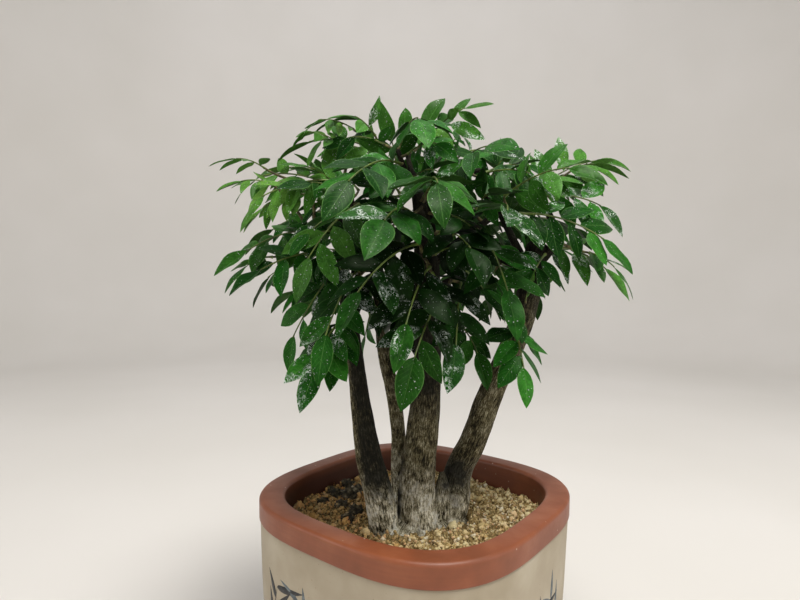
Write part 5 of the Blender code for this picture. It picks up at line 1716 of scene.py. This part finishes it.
def twig_rind():
    """Young brown bark: thin, smooth, with pale pores and a greenish tinge in places."""
    made, tree, shader = begin_material("young_brown_bark", 0.7)
    where = add_node(tree, "TexCoord").outputs["Object"]
    pores = add_node(tree, "TexNoise", {"Vector": where, "Scale": 0.42 / MM, "Detail": 5.0})
    tone = add_node(
        tree, "ValToRGB", {"Fac": pores}, stops=[(0.35, "#2C2712"), (0.72, "#7A7846"), (0.55, "#544E28")])
    bump = add_node(tree, "Bump", {"Height": pores, "Strength": 0.5, "Distance": 0.2 * MM})
    feed(shader, {"Base Color": tone, "Normal": bump})
    return made


def grow_twigs(twigs):
    """The thin twigs between the branches and the sprays, each with a few swollen nodes."""
    points, faces = [], []
    corners = 0
    for k, (curve, thick) in enumerate(twigs):
        path = np.array([tuple(point) for point in curve])
        share = np.linspace(0, 1, len(path))
        knots = 1 + 0.14 * np.sin(share * 11 + k) ** 4
        radii = (0.72 * thick * (1 - share) + 0.55 * MM * share) * knots
        points.append(tube(path, radii, TWIG_COLUMNS, domed=0.3))
        faces += tube_faces(len(path), TWIG_COLUMNS, corners)
        corners += len(points[-1])
    return put("twigs", np.concatenate(points), faces, [twig_rind()])


EXTRAS = SHOOTS + inner_shoots() + FRONT_SHOOTS
tubes, twig_curves = wood_tubes(SPRAYS + EXTRAS)
twigs = grow_twigs(twig_curves)
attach(twigs, "root")
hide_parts("trunks")
finishes = [
    leather_blade(
        "leaf_upper_side", ("#083009", "#104A0E", "#226619"), ("#38661F", "#62903A"), "#6A9A50",
        0.38, 1.0),
    leather_blade(
        "leaf_underside", ("#183414", "#23451B", "#315424"), ("#47782A", "#62923C"), "#6F9156",
        0.6, 0.0),
    green_stalk(),
]
planned = plan_leaflets(tubes)
draw = np.random.RandomState(SEED)
all_blades = []
for spray in SPRAYS + EXTRAS:
    made, blades = spray_mesh("leaves_" + spray[0], spray, planned[spray[0]], finishes, draw)
    all_blades.append(blades)
    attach(made, "root")
    if spray in SPRAYS:
        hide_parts("spray_" + spray[0])

# Dew: the leaves have just been misted, so small beads of water sit all over their upper sides, closer
# together on a few leaflets that caught more of it. Each is a low lens held by its own skin, its water
# painted milky white as a painted highlight.
BEADS = 4200
BEAD_COLUMNS = 6
BEAD_RADIUS = (0.15 * MM, 0.44 * MM)
BEADS_ON_WET = 3.0
BEADS_ALONG = (0.10, 0.93)
BEADS_ACROSS = (-0.9, 0.9)
BEAD_SHOULDER = (0.62, 0.42)
BEAD_CROWN = 0.58
BEAD_SUNK = (0.02 * MM, 0.05 * MM)


def milky_glint_water():
    """Still water with water's own index, painted half milky white as a painted highlight, as a bead's
    white glint is too small to show.
    """
    made, tree, shader = begin_material("milky_glint_water", 0.04, IOR=1.33, Transmission_Weight=0.55)
    where = add_node(tree, "TexCoord").outputs["Object"]
    haze = add_node(tree, "TexNoise", {"Vector": where, "Scale": 0.3 / MM, "Detail": 2.0})
    tone = add_node(tree, "ValToRGB", {"Fac": haze}, stops=[(0.3, "#C9D8CE"), (0.7, "#F2F7F3")])
    feed(shader, {"Base Color": tone})
    return made


def bead_mesh():
    """Beads strewn over the blades' upper sides, squat lenses square to the surface under them."""
    draw = np.random.RandomState(SEED + 1)
    joined = copy.copy(all_blades[0])
    for name in vars(all_blades[0]):
        setattr(joined, name, np.concatenate([getattr(blades, name) for blades in all_blades]))
    count = len(joined.length)
    share = (1 + (BEADS_ON_WET - 1) * joined.wet) * joined.length ** 2
    k = draw.choice(count, BEADS, p=share / share.sum())
    a = draw.uniform(*BEADS_ALONG, BEADS)
    s = draw.uniform(*BEADS_ACROSS, BEADS)
    middle = joined.place(k, a, s)
    along = joined.place(k, a + 0.02, s) - joined.place(k, a - 0.02, s)
    across = joined.place(k, a, s + 0.05) - joined.place(k, a, s - 0.05)
    normal = np.cross(across, along)
    normal /= np.linalg.norm(normal, axis=1, keepdims=True)
    along /= np.linalg.norm(along, axis=1, keepdims=True)
    across = np.cross(along, normal)
    radius = BEAD_RADIUS[0] + (BEAD_RADIUS[1] - BEAD_RADIUS[0]) * draw.uniform(0, 1, BEADS) ** 2.5
    turn = full_turn(BEAD_COLUMNS)
    ring = along[:, None] * np.cos(turn)[:, None] + across[:, None] * np.sin(turn)[:, None]
    size = radius[:, None]
    out, up = BEAD_SHOULDER
    low_ring = middle[:, None] + ring * size[..., None] - BEAD_SUNK[0] * normal[:, None]
    high_ring = middle[:, None] + (out * ring + up * normal[:, None]) * size[..., None]
    top = middle + BEAD_CROWN * normal * size
    bottom = middle - BEAD_SUNK[1] * normal
    points = np.concatenate([low_ring, high_ring, bottom[:, None], top[:, None]], axis=1)
    faces = tube_faces(2, BEAD_COLUMNS)
    return put("dew_beads", points, copies_of(faces, BEADS, points.shape[1]), [milky_glint_water()])


dew = bead_mesh()
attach(dew, "root")

# Stage: a plain pale floor that curves up into a round wall, painted matte. Soft studio light falls
# from above, with weaker panels in front, at the sides and on the wall.
STAGE_FLOOR = (0.02, 0.8, 1.5)
STAGE_BEND = 0.7
STAGE_TOP = (1.5, 2.2)
STAGE_COLUMNS = 72


def pale_paint():
    """Matte pale paint on the stage, warm white."""
    made, tree, shader = begin_material("pale_matte_paint", 0.85)
    where = add_node(tree, "TexCoord").outputs["Object"]
    grain = add_node(tree, "TexNoise", {"Vector": where, "Scale": 3.0, "Detail": 2.0})
    tone = add_node(tree, "ValToRGB", {"Fac": grain}, stops=[(0.3, "#D8D5D0"), (0.7, "#DDDAD6")])
    feed(shader, {"Base Color": tone})
    return made


def build_stage():
    """A round floor with a wall all about it, joined by a quarter round."""
    quarter = arc((STAGE_FLOOR[2], STAGE_BEND), STAGE_BEND, -90, 0, 16)
    level = [[reach, 0.0] for reach in STAGE_FLOOR[:2]]
    wall = [[STAGE_FLOOR[2] + STAGE_BEND, height] for height in STAGE_TOP]
    profile = np.concatenate([level, quarter, wall])
    turn = full_turn(STAGE_COLUMNS)
    reach, height = profile[:, :1], profile[:, 1:]
    points = np.stack([reach * np.cos(turn), reach * np.sin(turn), height + 0 * turn], axis=-1)
    faces = [face[::-1] for face in ring_faces(len(profile), STAGE_COLUMNS)]
    faces.append(list(range(STAGE_COLUMNS)))
    return put("stage", points, faces, [pale_paint()])


def soft_light(name, place, aim, size, power, colour="#FFFFFF"):
    """A square softbox at a place, facing a point."""
    lamp = bpy.data.lights.new(name, "AREA")
    lamp.shape = "SQUARE"
    lamp.size = size
    lamp.energy = power
    lamp.color = linear(colour)[:3]
    made = bpy.data.objects.new(name, lamp)
    made.location = place
    made.rotation_euler = (Vector(aim) - Vector(place)).to_track_quat("-Z", "Y").to_euler()
    bpy.context.scene.collection.objects.link(made)


build_stage()
soft_light("key_light", (0.26, -0.40, 1.50), (0, 0, 0.22), 0.55, 20, "#FFFCF6")
soft_light("room_light", (0.36, -1.85, 0.72), (0, 0, 0.2), 0.8, 3.5, "#FFFEFC")
soft_light("left_fill", (-1.30, -0.35, 0.58), (0, 0, 0.22), 0.7, 3.4)
soft_light("right_fill", (1.30, -0.45, 0.60), (0, 0, 0.22), 0.7, 4.0)
soft_light("wall_light", (0.0, 0.75, 1.9), (0, 2.2, 0.7), 1.0, 9.5, "#FBFBFF")
soft_light("front_wall_light", (0.0, -0.95, 1.9), (0, -2.2, 0.7), 1.0, 9.0, "#FBFBFF")
world = bpy.data.worlds.new("studio")
bpy.context.scene.world = world
world.use_nodes = True
feed(world.node_tree.nodes["Background"], {"Color": linear("#F3F1F0"), "Strength": 0.24})
bpy.context.scene.view_settings.view_transform = "Standard"

# Camera: held level with the trunks' tops, a foot in front of the tree, tipped down and rolled a
# little. Its focal length is given in pixels of a picture 800 wide.
FOCAL_PIXELS = 564.67
IMAGE_WIDTH = 800
TIPPED = math.radians(2.336)
ROLLED = math.radians(0.568)
EYE = (-0.0108, -0.3275, 0.2531)

lens = bpy.data.cameras.new("camera")
lens.sensor_width = 36.0
lens.lens = FOCAL_PIXELS / IMAGE_WIDTH * lens.sensor_width
lens.clip_start = 0.01
camera = bpy.data.objects.new("camera", lens)
right = Vector((1, 0, 0))
forward = Vector((0, math.cos(TIPPED), -math.sin(TIPPED)))
upward = Vector((0, math.sin(TIPPED), math.cos(TIPPED)))
turned_view = Matrix((right, upward, -forward)).transposed().to_4x4() @ Matrix.Rotation(ROLLED, 4, "Z")
camera.matrix_world = Matrix.Translation(EYE) @ turned_view
bpy.context.scene.collection.objects.link(camera)
bpy.context.scene.camera = camera
